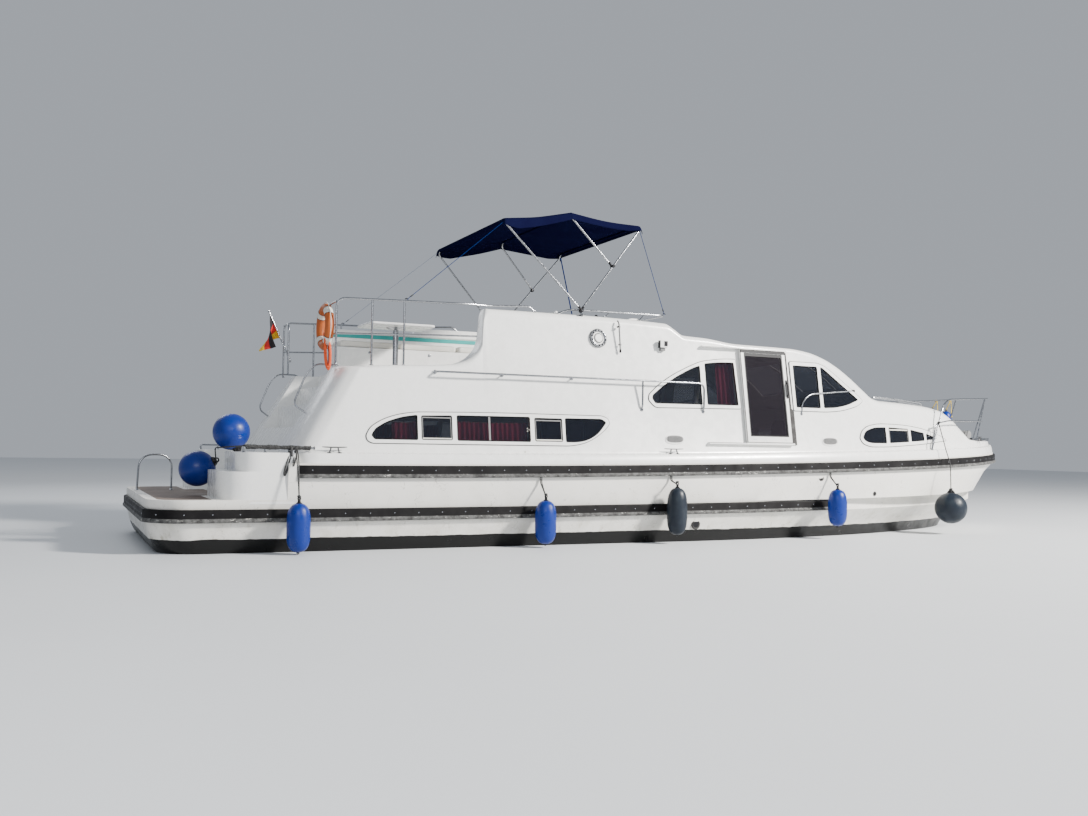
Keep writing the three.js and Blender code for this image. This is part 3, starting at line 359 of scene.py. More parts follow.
def plain(name, slot, colour, rough, second, clouds, mottle=None, grain=None, **sockets):
    """A finish with clouds of one second colour, and with mottled roughness or grain if they are given."""
    finish = Finish(name, slot, colour, rough, **sockets).clouds(second, *clouds)
    if mottle:
        finish.mottle(*mottle)
    if grain:
        finish.grain(*grain)
    return finish


# %% [markdown]
# Sprayed gelcoat is a hard, glossy white. Rain leaves faint upright streaks below every ledge, and the
# hull's lower half is scuffed cream-grey by quays and weed, down to the black stripe at the waterline.

# %% Gelcoat
cabin_white = Finish("gelcoat_white", "gelcoat", (0.83, 0.83, 0.81), 0.25, Coat_Weight=0.25,
    Coat_Roughness=0.12)
cabin_white.clouds((0.68, 0.67, 0.63), 0.56, 0.8, 0.25, 2.2, 2, stretch=(1.5, 1.5, 0.12))
cabin_white.clouds((0.76, 0.76, 0.75), 0.5, 0.75, 0.3, 0.7, 3)
cabin_white.mottle(0.2, 0.34, 9, 3).grain(0.03, 0.01, 1.6, 2)

paint = hull_white = Finish("gelcoat_hull", "gelcoat", (0.8, 0.78, 0.73), 0.34, Specular_IOR_Level=0.25)
height = paint.axis("Z")
wear = paint.times(paint.span(paint.noise(3.2, 8, rough=0.7), 0.42, 0.68), paint.span(height, 0.9, 0.25))
paint.over(paint.times(wear, 0.75), (0.55, 0.53, 0.46))
scrape = paint.noise(9, 6, stretch=(0.25, 0.25, 2.0), rough=0.75)
paint.over(paint.times(paint.span(scrape, 0.62, 0.72, 0, 0.55), paint.span(height, 1.2, 0.5)),
    (0.38, 0.37, 0.34))
for size, ways, place in ((2.4, (1, 1, 1.6), 0.5), (3.1, (1.5, 1, 0.8), 0.47)):
    off_line = paint.maths("ABSOLUTE", paint.maths("SUBTRACT", paint.noise(size, 3, stretch=ways), place))
    patch = paint.span(paint.noise(size * 2.2, 2), 0.52, 0.58, 0, 0.7)
    paint.over(paint.times(paint.span(off_line, 0.0035, 0.0015), patch), (0.4, 0.38, 0.34))
stain = paint.span(paint.noise(14, 4, stretch=(0.7, 0.7, 0.3)), 0.6, 0.75, 0, 0.8)
paint.over(paint.times(stain, paint.span(height, 0.42, 0.2)), (0.36, 0.33, 0.24))
stripe_edge = paint.maths("ADD", height, paint.span(paint.noise(5, 3), 0.3, 0.7, -0.006, 0.006))
paint.over(paint.span(stripe_edge, 0.168, 0.162), (0.006, 0.006, 0.006))
paint.mottle(0.26, 0.5, 6, 5).bump(scrape, 0.12, 0.004)

# %% [markdown]
# Black rubber goes grey and chalky where it rubs, and picks up white paint on its proud lower lip: an
# attribute on the rail, 1 on that lip, says where.

# %% Rubber, metal, wood and glass
rubber = Finish("rubber", "rubber", (0.006, 0.0055, 0.006), 0.6, Specular_IOR_Level=0.1)
rubber.clouds((0.024, 0.023, 0.023), 0.4, 0.75, 0.5, 4, 6)
lip = rubber.attribute("lip")
chalk = rubber.span(rubber.noise(16, 6, rough=0.7), 0.35, 0.62, 0.15, 0.8)
scuff = rubber.span(rubber.noise(11, 5, stretch=(1, 1, 3), rough=0.8), 0.6, 0.64, 0, 0.85)
rubber.over(rubber.times(lip, chalk), (0.16, 0.16, 0.155)).over(rubber.times(lip, scuff), (0.55, 0.54, 0.5))
rubber.mottle(0.42, 0.7, 9, 4).grain(0.25, 0.002, 60, 3)

steel = plain("stainless", "steel", (0.34, 0.35, 0.37), 0.16, (0.16, 0.16, 0.17), (0.5, 0.75, 0.6, 35, 4),
    (0.12, 0.3, 50, 3), metal=1.0)
dull_metal = plain("dull_metal", "steel", (0.12, 0.12, 0.125), 0.35, (0.06, 0.06, 0.06),
    (0.45, 0.7, 0.6, 40, 4), (0.25, 0.5, 30, 3), metal=1.0)
bronze = plain("bronze", None, (0.34, 0.22, 0.1), 0.4, (0.1, 0.12, 0.09), (0.45, 0.7, 0.8, 12, 5),
    (0.3, 0.6, 20, 4), metal=1.0)
iron = plain("engine_paint", None, (0.08, 0.13, 0.11), 0.5, (0.05, 0.045, 0.04), (0.5, 0.7, 0.7, 10, 5),
    metal=0.2)
black = plain("black_plastic", "rubber", (0.012, 0.012, 0.014), 0.45, (0.025, 0.025, 0.027),
    (0.4, 0.8, 0.5, 20, 4), grain=(0.15, 0.0006, 260, 2), Specular_IOR_Level=0.15)
grey = plain("grey_plastic", "steel", (0.2, 0.2, 0.2), 0.5, (0.13, 0.13, 0.125), (0.45, 0.75, 0.5, 25, 4),
    grain=(0.1, 0.0006, 180, 2), Specular_IOR_Level=0.2)
seal = plain("seal_grey", "rubber", (0.035, 0.033, 0.033), 0.6, (0.1, 0.1, 0.095), (0.45, 0.7, 0.6, 12, 5),
    Specular_IOR_Level=0.15)
glass = Finish("tinted_glass", "window", (0.006, 0.008, 0.014), 0.04, Alpha=0.5, Specular_IOR_Level=0.6)
glass.mottle(0.02, 0.07, 3, 3)
glass_clear = Finish("windscreen_glass", "side_door", (0.012, 0.009, 0.013), 0.04, Alpha=0.6,
    Specular_IOR_Level=0.7)
glass_clear.mottle(0.02, 0.08, 3, 3)
ply = Finish("plywood", "plywood", (0.34, 0.24, 0.15), 0.55)
ply.clouds((0.22, 0.145, 0.08), 0.35, 0.7, 0.8, 4, 6, stretch=(1, 12, 1))

teak = Finish("teak", None, (0.2, 0.145, 0.115), 0.75)
plank = teak.maths("FRACT", teak.maths("DIVIDE", teak.axis("Y"), 0.052))
teak.clouds((0.11, 0.08, 0.065), 0.35, 0.7, 0.85, 6, 8, stretch=(1.2, 14, 1))
teak.clouds((0.27, 0.225, 0.19), 0.45, 0.7, 0.5, 1.6, 3)
teak.over(teak.span(plank, 0.1, 0.085), (0.02, 0.02, 0.02))
teak.bump(teak.span(plank, 0.08, 0.11), 0.5, 0.002).grain(0.3, 0.001, 9, 6, stretch=(2, 30, 1))

# %% [markdown]
# Cloth and vinyl. Canvas gets a fine weave from two crossed waves; vinyl fenders are smooth and glossy
# with a few dull rubs; rope is dark and fibrous.

# %% Cloth, vinyl and rope
def woven(name, slot, colour, shade, thread):
    """Weave height = |sin(pi x / thread)| crossed with |sin(pi y / thread)|, and a cloudy fading."""
    cloth = plain(name, slot, colour, 0.85, shade, (0.35, 0.7, 0.7, 2.5, 4), Specular_IOR_Level=0.0)
    wave = lambda way: cloth.maths("SINE", cloth.times(way, math.pi / thread))
    u, v = wave(cloth.maths("ADD", cloth.axis("X"), cloth.axis("Z"))), wave(cloth.axis("Y"))
    return cloth.bump(cloth.times(u, v), 0.25, thread * 0.5)


canvas = woven("awning_canvas", "canvas", (0.004, 0.004, 0.022), (0.006, 0.007, 0.03), 0.004)
maroon = woven("curtain_cloth", "upholstery", (0.4, 0.045, 0.09), (0.25, 0.028, 0.055), 0.003)
webbing = woven("blue_webbing", "canvas", (0.01, 0.04, 0.2), (0.012, 0.03, 0.13), 0.003)
upholstery = woven("sofa_cloth", "upholstery", (0.2, 0.05, 0.07), (0.13, 0.03, 0.045), 0.004)

vinyl = plain("cushion_vinyl", "cushion", (0.72, 0.7, 0.64), 0.45, (0.58, 0.56, 0.5), (0.4, 0.7, 0.6, 3, 4),
    Coat_Weight=0.1)
leather = vinyl.node("TexVoronoi", {"Scale": 500, "Vector": vinyl.where})["Distance"]
vinyl.bump(leather, 0.12, 0.0005)
fender_blue = plain("fender_blue", "fender_blue", (0.001, 0.02, 0.2), 0.3, (0.004, 0.016, 0.13),
    (0.5, 0.75, 0.5, 5, 5), Specular_IOR_Level=0.35)
fender_blue.clouds((0.03, 0.06, 0.2), 0.66, 0.74, 0.5, 18, 6, stretch=(1, 1, 0.3)).mottle(0.22, 0.5, 12, 4)
fender_navy = plain("fender_navy", "fender_navy", (0.008, 0.013, 0.022), 0.35, (0.02, 0.028, 0.036),
    (0.45, 0.75, 0.7, 7, 5), (0.28, 0.55, 12, 4), Specular_IOR_Level=0.3)
rope_dark = plain("rope_dark", "rubber", (0.018, 0.018, 0.02), 0.8, (0.09, 0.09, 0.085),
    (0.45, 0.6, 0.7, 90, 2), grain=(0.5, 0.002, 160, 2))
rope_yellow = plain("rope_yellow", "rubber", (0.75, 0.52, 0.03), 0.7, (0.5, 0.33, 0.02),
    (0.45, 0.6, 0.6, 90, 2))
rope_orange = plain("rope_orange", "lifebuoy", (0.75, 0.1, 0.015), 0.7, (0.5, 0.05, 0.01),
    (0.45, 0.6, 0.7, 80, 2))
buoy_skin = plain("lifebuoy_skin", "lifebuoy", (0.42, 0.1, 0.02), 0.55, (0.3, 0.075, 0.025),
    (0.45, 0.7, 0.6, 7, 5), grain=(0.2, 0.001, 90, 2), Specular_IOR_Level=0.3)
white_band = plain("white_band", "lifebuoy", (0.66, 0.64, 0.58), 0.6, (0.5, 0.48, 0.42),
    (0.45, 0.7, 0.5, 12, 4))
teal_paint = plain("teal_stripe", "cushion", (0.02, 0.33, 0.31), 0.35, (0.04, 0.25, 0.24),
    (0.5, 0.7, 0.5, 6, 4))
print("finishes:", len(bpy.data.materials))

# %% [markdown]
# ## The boat's lines
# The deck edge and the two rub rails are plain formulas of x, the distance forward of midships. The
# hull is ten of these plan lines, one over the other. The cabin is a table of sections, each with a
# shoulder height, a crown height and a shoulder radius, joined by smooth curves along the boat.

# %% Lines of the hull and cabin
STERN, STEM, HALF_BEAM, TAPER_FROM = -7200, 7430, 2000, 800
TUMBLEHOME, WALL_FOOT, WALL = 0.165, 140, 48
RUB_HEIGHT, RUB_DEPTH = 150, 50
PLATFORM_Z, QUARTER_Z, AFT_FACE, SOLE_Z, FLY_SOLE = 610, 1150, -5620, 850, 2260
WELL_HALF, STAIR_HALF, TUBE_R = 1380, 1030, 13


def bow_taper(x, start, end, power, fullness):
    """(1 - t^power)^fullness, where t runs from 0 at start to 1 at end."""
    t = np.clip((np.asarray(x, float) - start) / (end - start), 0, 1)
    return (1 - t**power) ** fullness


def sheer(x):
    """Half breadth of the deck edge."""
    return HALF_BEAM * bow_taper(x, TAPER_FROM, STEM, 3, 0.8)


def rail_foot(x):
    """Underside of the upper rub rail: a parabola that rises to the bow."""
    return 860 + 270 * ((np.asarray(x, float) + 5600) / 13050) ** 2


def deck_edge(x):
    return rail_foot(np.maximum(x, -5600)) + RUB_HEIGHT + 20


def lower_foot(x):
    """Underside of the lower rub rail."""
    return 355 + 50 * np.maximum(0, (np.asarray(x, float) + 5700) / 7900) ** 2


def side_y(x, z, off=0.0):
    """Half breadth of the cabin side, which leans inboard by 0.165 of its height over z = 1200."""
    edge = sheer(x)
    return edge - WALL_FOOT * np.minimum(1, edge / 900) - TUMBLEHOME * (np.asarray(z, float) - 1200) + off


def rise(x, start, end, deep, high):
    """deep forward of start, then a parabola up to high at end."""
    x = np.asarray(x, float)
    return np.where(x < start, deep + (high - deep) * ((start - x) / (start - end)) ** 2, deep)


# aft end, fore end, half breadth, taper from, power, fullness, height
HULL_LINES = [
    (-6300, 4900, 60, 2000, 2, 0.7,
        lambda x: rise(x, -3500, -6300, -600, -240) + np.where(x > 3500, 260 * ((x - 3500) / 1400) ** 2, 0)),
    (-6750, 5750, 1600, -300, 2, 0.8, lambda x: rise(x, -3500, -6700, -390, -130)),
    (-7050, 6080, 1820, -300, 2, 0.75, lambda x: rise(x, -3500, -7000, -150, -20)),
    (-7140, 6250, 1890, -300, 2, 0.72, lambda x: 120 + 0 * x),
    (STERN, 6850, 1965, 300, 2.3, 0.72, lambda x: lower_foot(x) - 4),
    (STERN, 6850, 1965, 300, 2.3, 0.72, lambda x: lower_foot(x) + RUB_HEIGHT + 4),
    (STERN - 4, 6890, 1969, 800, 3, 0.75, lambda x: lower_foot(x) + RUB_HEIGHT + 14),
    (STERN, 7180, 1985, 800, 3, 0.78, lambda x: rail_foot(np.maximum(x, -5600)) - 150),
    (STERN, STEM - 20, HALF_BEAM, TAPER_FROM, 3, 0.8, lambda x: rail_foot(np.maximum(x, -5600)) - 4),
    (STERN, STEM, HALF_BEAM, TAPER_FROM, 3, 0.8, deck_edge),
]


def hull_line(line, side_steps=130, corner_steps=10):
    """Port half of a plan line: a quarter circle at the stern corner, then breadth * taper(x) to the stem."""
    aft, fore, breadth, taper, power, full, z = line
    corner = min(450, breadth * 0.8)
    a = np.linspace(0, np.pi / 2, corner_steps)
    t = 1 - (1 - np.linspace(0, 1, side_steps)[1:]) ** 1.6
    x = np.r_[aft + corner * (1 - np.cos(a)), aft + corner + t * (fore - aft - corner)]
    straight = breadth * bow_taper(x[corner_steps:], taper, fore, power, full)
    y = np.r_[breadth - corner * (1 - np.sin(a)), straight]
    return np.stack([x, y, z(x)], -1)


# x, lean of the ring, side inset, shoulder z, crown z, shoulder radius, fore bulge
STATIONS = np.array([
    [-5620, 0.60, 300, 2215, 2225, 90, 0], [-5575, 0.60, 150, 2215, 2225, 90, 0],
    [-5480, 0.60, 50, 2215, 2225, 90, 0], [-5330, 0.55, 5, 2215, 2225, 90, 0],
    [-4900, 0.30, 0, 2230, 2245, 90, 0], [-4300, 0, 0, 2250, 2265, 90, 0],
    [-3620, 0, 0, 2290, 2300, 90, 0], [-3430, 0, 0, 2340, 2350, 90, 0],
    [-3280, 0, 0, 2450, 2460, 90, 0], [-3190, 0, 0, 2620, 2630, 100, 0],
    [-3155, 0, 0, 2960, 2970, 100, 0], [-3110, 0, 0, 3050, 3060, 100, 0],
    [-1700, 0, 0, 3055, 3065, 100, 0], [-400, 0, 0, 3025, 3040, 100, 0],
    [-250, 0, 0, 2950, 2970, 100, 0], [-120, 0, 0, 2870, 2910, 90, 0],
    [250, 0, 0, 2850, 2910, 80, 0], [760, 0, 0, 2790, 2900, 60, 0],
    [1700, 0, 0, 2775, 2890, 60, 100], [2050, 0, 0, 2740, 2860, 80, 200],
    [2350, 0, 0, 2660, 2780, 110, 300], [2600, 0, 0, 2540, 2650, 120, 400],
    [2850, 0, 0, 2380, 2490, 130, 450], [3100, 0, 0, 2200, 2310, 140, 450],
    [3280, 0, 0, 2085, 2180, 140, 450], [3450, 0, 0, 2055, 2140, 150, 420],
    [3900, 0, 0, 2040, 2120, 160, 350], [4500, 0, 0, 2015, 2090, 180, 300],
    [5000, 0, 0, 1960, 2040, 200, 300], [5300, 0, 0, 1860, 1940, 200, 300],
    [5550, 0, 0, 1720, 1800, 180, 300], [5750, 0, 0, 1580, 1640, 90, 280],
    [5880, 0, 0, 1500, 1520, 30, 200], [6300, 0, 0, 1480, 1490, 20, 0],
    [6800, 0, 0, 1480, 1490, 20, 0], [7150, 0, 0, 1485, 1495, 20, 0], [7340, 0, 0, 1490, 1500, 12, 0],
])


def smooth_through(x, xs, ys):
    """Cubic between rows of a table with slopes that never overshoot: a slope is the harmonic mean of its two
    sides' slopes, and zero where they differ in sign."""
    shape = (len(x),) + ys.shape[1:]
    ys = ys.reshape(len(xs), -1)
    h = np.diff(xs)[:, None]
    d = np.diff(ys, axis=0) / h
    m = np.zeros_like(ys)
    with np.errstate(divide="ignore", invalid="ignore"):
        mean = 2 * d[:-1] * d[1:] / (d[:-1] + d[1:])
    m[1:-1] = np.where(d[:-1] * d[1:] > 0, mean, 0)
    m[0], m[-1] = d[0], d[-1]
    i = np.clip(np.searchsorted(xs, x, "right") - 1, 0, len(xs) - 2)
    t = (np.asarray(x) - xs[i])[:, None] / h[i]
    out = ((1 + 2 * t) * (1 - t) ** 2 * ys[i] + t * (1 - t) ** 2 * h[i] * m[i]
           + t * t * (3 - 2 * t) * ys[i + 1] + t * t * (t - 1) * h[i] * m[i + 1])
    return out.reshape(shape)


def sections(low=-5620, high=7340, step=36, table=STATIONS):
    """The table's columns at close steps of x, with the table's own places kept."""
    own = table[(table[:, 0] >= low) & (table[:, 0] <= high), 0]
    fine = [np.linspace(a, b, max(2, int(math.ceil((b - a) / step)) + 1)) for a, b in zip(own[:-1], own[1:])]
    x = np.unique(np.concatenate(fine))
    return np.column_stack([x, smooth_through(x, table[:, 0], table[:, 1:])])


def rings(rows, off=0.0, base=0.0, shoulder_steps=9, crown_steps=12):
    """Half sections, starboard's mirror: foot, ledge, leaning wall, round shoulder, and a crown
    z = shoulder + (crown - shoulder) (1 - (y / c)^2). Each is leaned aft, or bulged forward at its middle."""
    x, lean, inset, zs, zc, radius, bulge = (c[:, None] for c in rows.T)
    edge = sheer(x) - inset
    narrow = np.minimum(1, edge / 900)
    foot = deck_edge(x) + 0.3
    ledge = foot + 130
    wall = lambda z: np.maximum(edge - WALL_FOOT * narrow - TUMBLEHOME * (z - 1200), edge * 0.35)
    r = np.minimum(radius, wall(zs) * 0.4)
    rnd = np.maximum(r + off, 4)
    cy, cz = wall(zs) + off - rnd, zs + off - rnd
    lift = ledge + off * 0.5
    a = np.linspace(0, np.pi / 2, shoulder_steps)[None]
    corner_z = np.maximum(cz, lift + 20)
    y = [edge - 10 + off, edge - 18 + off, edge - 26 - 24 * narrow + off, edge - 100 * narrow + off,
         wall(ledge + 14) + off + 6, wall(ledge + 30) + off,
         (wall(lift + 30) + wall(corner_z)) / 2 + off, cy + rnd * np.cos(a)]
    z = [foot + min(base, 0), foot + 60 + 0 * x, lift - 14, lift, lift + 4, lift + 26,
         (lift + 30 + corner_z) / 2, np.maximum(cz + rnd * np.sin(a), lift + 30)]
    t = np.linspace(1, 0, crown_steps + 1)[None, 1:]
    y.append(cy * t)
    z.append(zs + off + (zc - zs) * (1 - t**2))
    y, z = (np.hstack([np.broadcast_to(v, (len(rows), v.shape[1])) for v in parts]) for parts in (y, z))
    up = np.clip((z - ledge) / np.maximum(zs - ledge, 1), 0, 1)
    fore = bulge * (1 - np.minimum(1, np.abs(y) / wall(zs)) ** 2) * up
    aft = np.where(x < -5300, off, 0.0)
    return np.stack([x + lean * np.maximum(0, z - 1200) + fore - aft, y, z], -1)


def closed_skin(half):
    """Both sides of the half sections as one closed shape, with strips across its foot and both ends."""
    port = half
    starboard = half[:, -2::-1] * [1, -1, 1]
    ring = np.concatenate([port, starboard], 1)
    rows, n = ring.shape[:2]
    faces = [quads(rows, n, False, True)]
    m = half.shape[1]
    k = np.arange(m - 1)
    twin = 2 * m - 2 - k
    for row in (0, rows - 1):
        strip = row * n + np.stack([k, k + 1, twin - 1, twin], -1)
        if row == 0:
            strip = strip[:, ::-1]
        faces += [strip[:-1], strip[-1:, [0, 1, 3]] if row else strip[-1:, [0, 2, 3]]]
    return ring.reshape(-1, 3), faces


print("half beam", HALF_BEAM, "sections", len(sections()))

# %% [markdown]
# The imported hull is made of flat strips. Here the same lines are drawn finely and joined by smooth curves,
# and what the solid lacks is cut out with exact Booleans, so that every shape stays closed.

# %% Cutting and joining shapes
def shape_of(mesh):
    """A mesh read back as points and faces, grouped by their number of corners."""
    points, corner = np.empty(len(mesh.vertices) * 3), np.empty(len(mesh.loops), int)
    start, count = np.empty(len(mesh.polygons), int), np.empty(len(mesh.polygons), int)
    mesh.vertices.foreach_get("co", points)
    mesh.loops.foreach_get("vertex_index", corner)
    mesh.polygons.foreach_get("loop_start", start)
    mesh.polygons.foreach_get("loop_total", count)
    faces = [corner[start[count == n][:, None] + np.arange(n)] for n in np.unique(count)]
    return points.reshape(-1, 3), faces


def evaluated(thing):
    """The object's shape after its modifiers."""
    return shape_of(thing.evaluated_get(bpy.context.evaluated_depsgraph_get()).to_mesh())


def combined(shape, *tools, how="DIFFERENCE"):
    """The shape less its tools, or joined with them, as a new closed shape."""
    body = as_object("body", shape)
    helpers = [as_object("tool", tool) for tool in tools]
    for helper in helpers:
        step = body.modifiers.new("cut", "BOOLEAN")
        step.operation, step.object, step.solver = how, helper, "MANIFOLD"
    result = evaluated(body)
    for one in [body] + helpers:
        bpy.data.meshes.remove(one.data)
    return result


def plan(outline, z0, z1, lean=0.0):
    """An outline (x, y) raised from z0 to z1; its points forward of the middle lean forward on the way up."""
    outline = np.asarray(outline, float)
    x, y = outline.T
    top = x + np.where(x > x.mean(), lean, 0.0)
    return capped(np.stack([np.column_stack([u, y, np.full(len(x), z)]) for u, z in ((x, z0), (top, z1))]))


def oblong(x0, x1, y0, y1, radius=0.0, steps=8):
    """A rectangle in two coordinates, its corners rounded."""
    return corners([[x0, y0], [x1, y0], [x1, y1], [x0, y1]], radius, steps, closed=True)


# %% [markdown]
# ## Hull
# Ten plan lines, one over the other, are the rows of a grid. The four below the lower rub rail are joined
# by smooth curves, which round the bilge. The platform's hollow, the cabins' space, the engine's bay and
# the recess for the teak are cut out, and the skeg with its shaft tube is added.

# %% Hull shell
lines = np.stack([hull_line(line) for line in HULL_LINES])
low_rows = smooth_through(np.linspace(0, 4, 17), np.arange(5.0), lines[:5])
hull = outward(closed_skin(np.concatenate([low_rows, lines[5:]])))
half_at = lambda line, x: line[2] * bow_taper(x, line[3], line[1], line[4], line[5])
xs = np.unique(np.r_[np.linspace(-4700, -4200, 6), np.linspace(-4200, 5750, 60)])
shut = np.interp(xs, [-4400, -4200], [130, 0])
upper, middle = sheer(xs) - 120 - shut, half_at(HULL_LINES[5], xs) - 110 - shut
lower = half_at(HULL_LINES[3], xs) - 200 - shut
levels = ((lower, 300), (middle, 560), (upper, 1130), (upper, 1600))
side = np.stack([np.column_stack([xs, y, np.full(len(xs), z)]) for y, z in levels], 1)
hold = capped(np.concatenate([side, side[:, ::-1] * [1, -1, 1]], 1))
hold = combined(hold, block((-1200, -1800, -100), (3200, 1800, SOLE_Z - 30)))
skeg = slab([[-6300, -940], [-1800, -940], [-900, -560], [-3500, -560], [-4400, -535], [-5300, -425],
             [-5640, -360], [-5640, -900], [-6300, -900]], -32, 32)
shaft_tube = swept([[-5700, 0, -660], [-4300, 0, -620]], 60, 0, 24)


def teak_outline(inset):
    """The platform's teak: round aft corners, and a tongue that reaches between the quarter steps."""
    x0, y = STERN + inset, 1965 - inset
    corner = corners([[-6515, y], [x0, y], [x0, 0]], 400, 10)[:-1]
    tongue = [[[-6260, s * 900], [-6515, s * 900]][::s] for s in (1, -1)]
    return np.vstack([tongue[0], corner, (corner * [1, -1])[::-1], tongue[1]])


hull = combined(hull, block((-7600, -2100, PLATFORM_Z), (-5700, 2100, 1400)), hold,
                block((-1000, -600, -330), (500, 600, 1600)),
                plan(teak_outline(110), PLATFORM_Z - 18, PLATFORM_Z + 50))
hull = combined(hull, skeg, shaft_tube, how="UNION")
hull = combined(hull, swept([[-5760, 0, -660], [-5500, 0, -660]], 21, 0, 24),
                swept([[-6230, 0, -1000], [-6230, 0, 60]], 26, 0, 24))
piece("hull_shell", hull, hull_white, sharp=32, bevel=8, stands_for="hull")
print("hull faces", sum(len(f) for f in hull[1]))


# %% [markdown]
# The quarter steps stand on the platform against the cabin: two round-cornered pods on each side and two
# treads between them. Their top edges are generously rounded, as mouldings are.

# %% Quarter steps
STEPS_FORE = AFT_FACE - 0.3


def pod(x0, corner, z):
    edge = corners([[STEPS_FORE, -1975], [x0, -1975], [x0, -960]], corner, 12)
    return plan(np.vstack([edge, [[STEPS_FORE, -960]]]), 560, z)


steps = combined(pod(-6455, 360, 930), pod(-6262, 500, QUARTER_Z), how="UNION")
treads = [block((x, -970, 560), (STEPS_FORE, 970, z)) for x, z in ((-6200, 890), (-5900, 1170))]
piece("quarter_steps", combined(steps, mirrored(steps), *treads, how="UNION"), cabin_white, sharp=30,
    bevel=22)

# %% [markdown]
# ## Cabin
# The superstructure's table of sections becomes one closed skin. From it go the air inside, the flybridge
# well, the stairwell and every opening. The thickness of the moulding shows at each window's edge.

# %% Openings in the sides
AFT_BAND = [[-4755, 1370], [-4700, 1470], [-4560, 1560], [-4380, 1625], [-4150, 1665], [-3150, 1685],
            [-1530, 1685], [-1450, 1655], [-1420, 1590], [-1500, 1500], [-1640, 1400], [-1800, 1325],
            [-2000, 1285], [-4680, 1280], [-4740, 1310]]
SALOON = [[-790, 1930], [-780, 2000], [-620, 2140], [-380, 2290], [-100, 2420], [100, 2500], [420, 2550],
          [690, 2560], [720, 1850], [-700, 1830]]
WHEELHOUSE = [[1655, 1850], [1655, 2575], [2240, 2575], [2480, 2430], [2980, 2075], [3010, 2030],
              [2900, 1960], [2600, 1880], [2300, 1850]]
FORE_BAND = [[2880, 1470], [2930, 1580], [3060, 1655], [3300, 1695], [3850, 1690], [4350, 1640], [4800, 1540],
             [4990, 1470], [4300, 1400], [3500, 1350], [3080, 1345], [2930, 1390]]
DOOR_HOLE = [[800, 1420], [800, 2690], [1510, 2690], [1510, 1420]]
AFT_PANES = [
    [[-4690, 1375], [-4640, 1455], [-4500, 1540], [-4300, 1605], [-4105, 1632], [-4105, 1325], [-4650, 1325]],
    [[-4055, 1330], [-4055, 1625], [-3655, 1635], [-3655, 1330]],
    [[-3590, 1325], [-3590, 1640], [-2590, 1645], [-2590, 1325]],
    [[-2525, 1335], [-2525, 1635], [-2130, 1635], [-2130, 1335]],
    [[-2085, 1330], [-2085, 1642], [-1540, 1645], [-1475, 1600], [-1600, 1450], [-1760, 1360], [-1920, 1330]],
]
SALOON_PANES = [
    [[-735, 1950], [-720, 2000], [-560, 2120], [-330, 2265], [-60, 2395], [75, 2440], [75, 1890],
     [-690, 1885]],
    [[160, 1890], [160, 2475], [420, 2505], [655, 2510], [680, 1895]],
]
WHEELHOUSE_PANES = [
    [[1710, 1900], [1710, 2520], [2160, 2520], [2160, 1900]],
    [[2225, 1905], [2225, 2515], [2260, 2510], [2920, 2050], [2700, 1965], [2450, 1915]],
]
FORE_PANES = [
    [[2940, 1480], [3000, 1575], [3180, 1635], [3440, 1645], [3440, 1400], [3090, 1400], [2980, 1430]],
    [[3510, 1405], [3510, 1645], [3960, 1630], [3960, 1430]],
    [[4020, 1435], [4020, 1620], [4350, 1575], [4350, 1455]],
    [[4410, 1465], [4410, 1565], [4700, 1500], [4600, 1478]],
]
WINDOWS = {"aft_window": (AFT_BAND, AFT_PANES), "saloon_window": (SALOON, SALOON_PANES),
           "wheelhouse_window": (WHEELHOUSE, WHEELHOUSE_PANES), "fore_window": (FORE_BAND, FORE_PANES)}


def eased(outline, sharp=26, soft=400, steps=7):
    """Shallow corners become long curves, and corners of more than 50 degrees get a small radius."""
    return corners(outline, lambda turn: sharp if turn > 50 else soft, steps, closed=True)


def moved_in(outline, d):
    """An outline (u, v) moved inwards by d: each point goes along the mean of its two sides' normals."""
    before, after = outline - np.roll(outline, 1, 0), np.roll(outline, -1, 0) - outline
    x, z = outline.T
    turn = np.sign((x * np.roll(z, -1) - z * np.roll(x, -1)).sum())
    normal = sum(unit(np.column_stack([-s[:, 1], s[:, 0]])) for s in (before, after))
    length = np.maximum(np.einsum("ij,ij->i", normal, normal) / 2, 0.4)
    return outline + turn * d * normal / length[:, None]


def on_side(outline, off):
    """(x, z) put on the starboard cabin side, off outboard of it."""
    return np.column_stack([outline[:, 0], -side_y(outline[:, 0], outline[:, 1], off), outline[:, 1]])


# %% Cabin shell
table = STATIONS[(STATIONS[:, 0] > -4500) & (STATIONS[:, 0] < 5600)].copy()
table = np.vstack([[-4600, 0, 0, 2235, 2245, 90, 0], table])
table[:, 1] = 0
under_deck = table[:, 0] < -60
table[under_deck, 3] = np.minimum(table[under_deck, 3], FLY_SOLE - 10)
table[under_deck, 4] = table[under_deck, 3] + 10
table[:, 5] = np.minimum(table[:, 5], 90)
air = outward(closed_skin(rings(sections(-4600, 5550, table=table), -WALL, -300)))
well = corners([[-5700, -WELL_HALF], [-620, -WELL_HALF], [-620, WELL_HALF], [-5700, WELL_HALF]], 160, 10)
well = plan(well, FLY_SOLE, 3300, lean=100)
stairs = slab([[-6400, 1460], [-5250, 1460], [-5250, 1760], [-4980, 1760], [-4980, 2020], [-4710, 2020],
               [-4710, 3300], [-6400, 3300]], -STAIR_HALF, STAIR_HALF)
SCREEN_TOP, SCREEN_FOOT = 2420, 3230


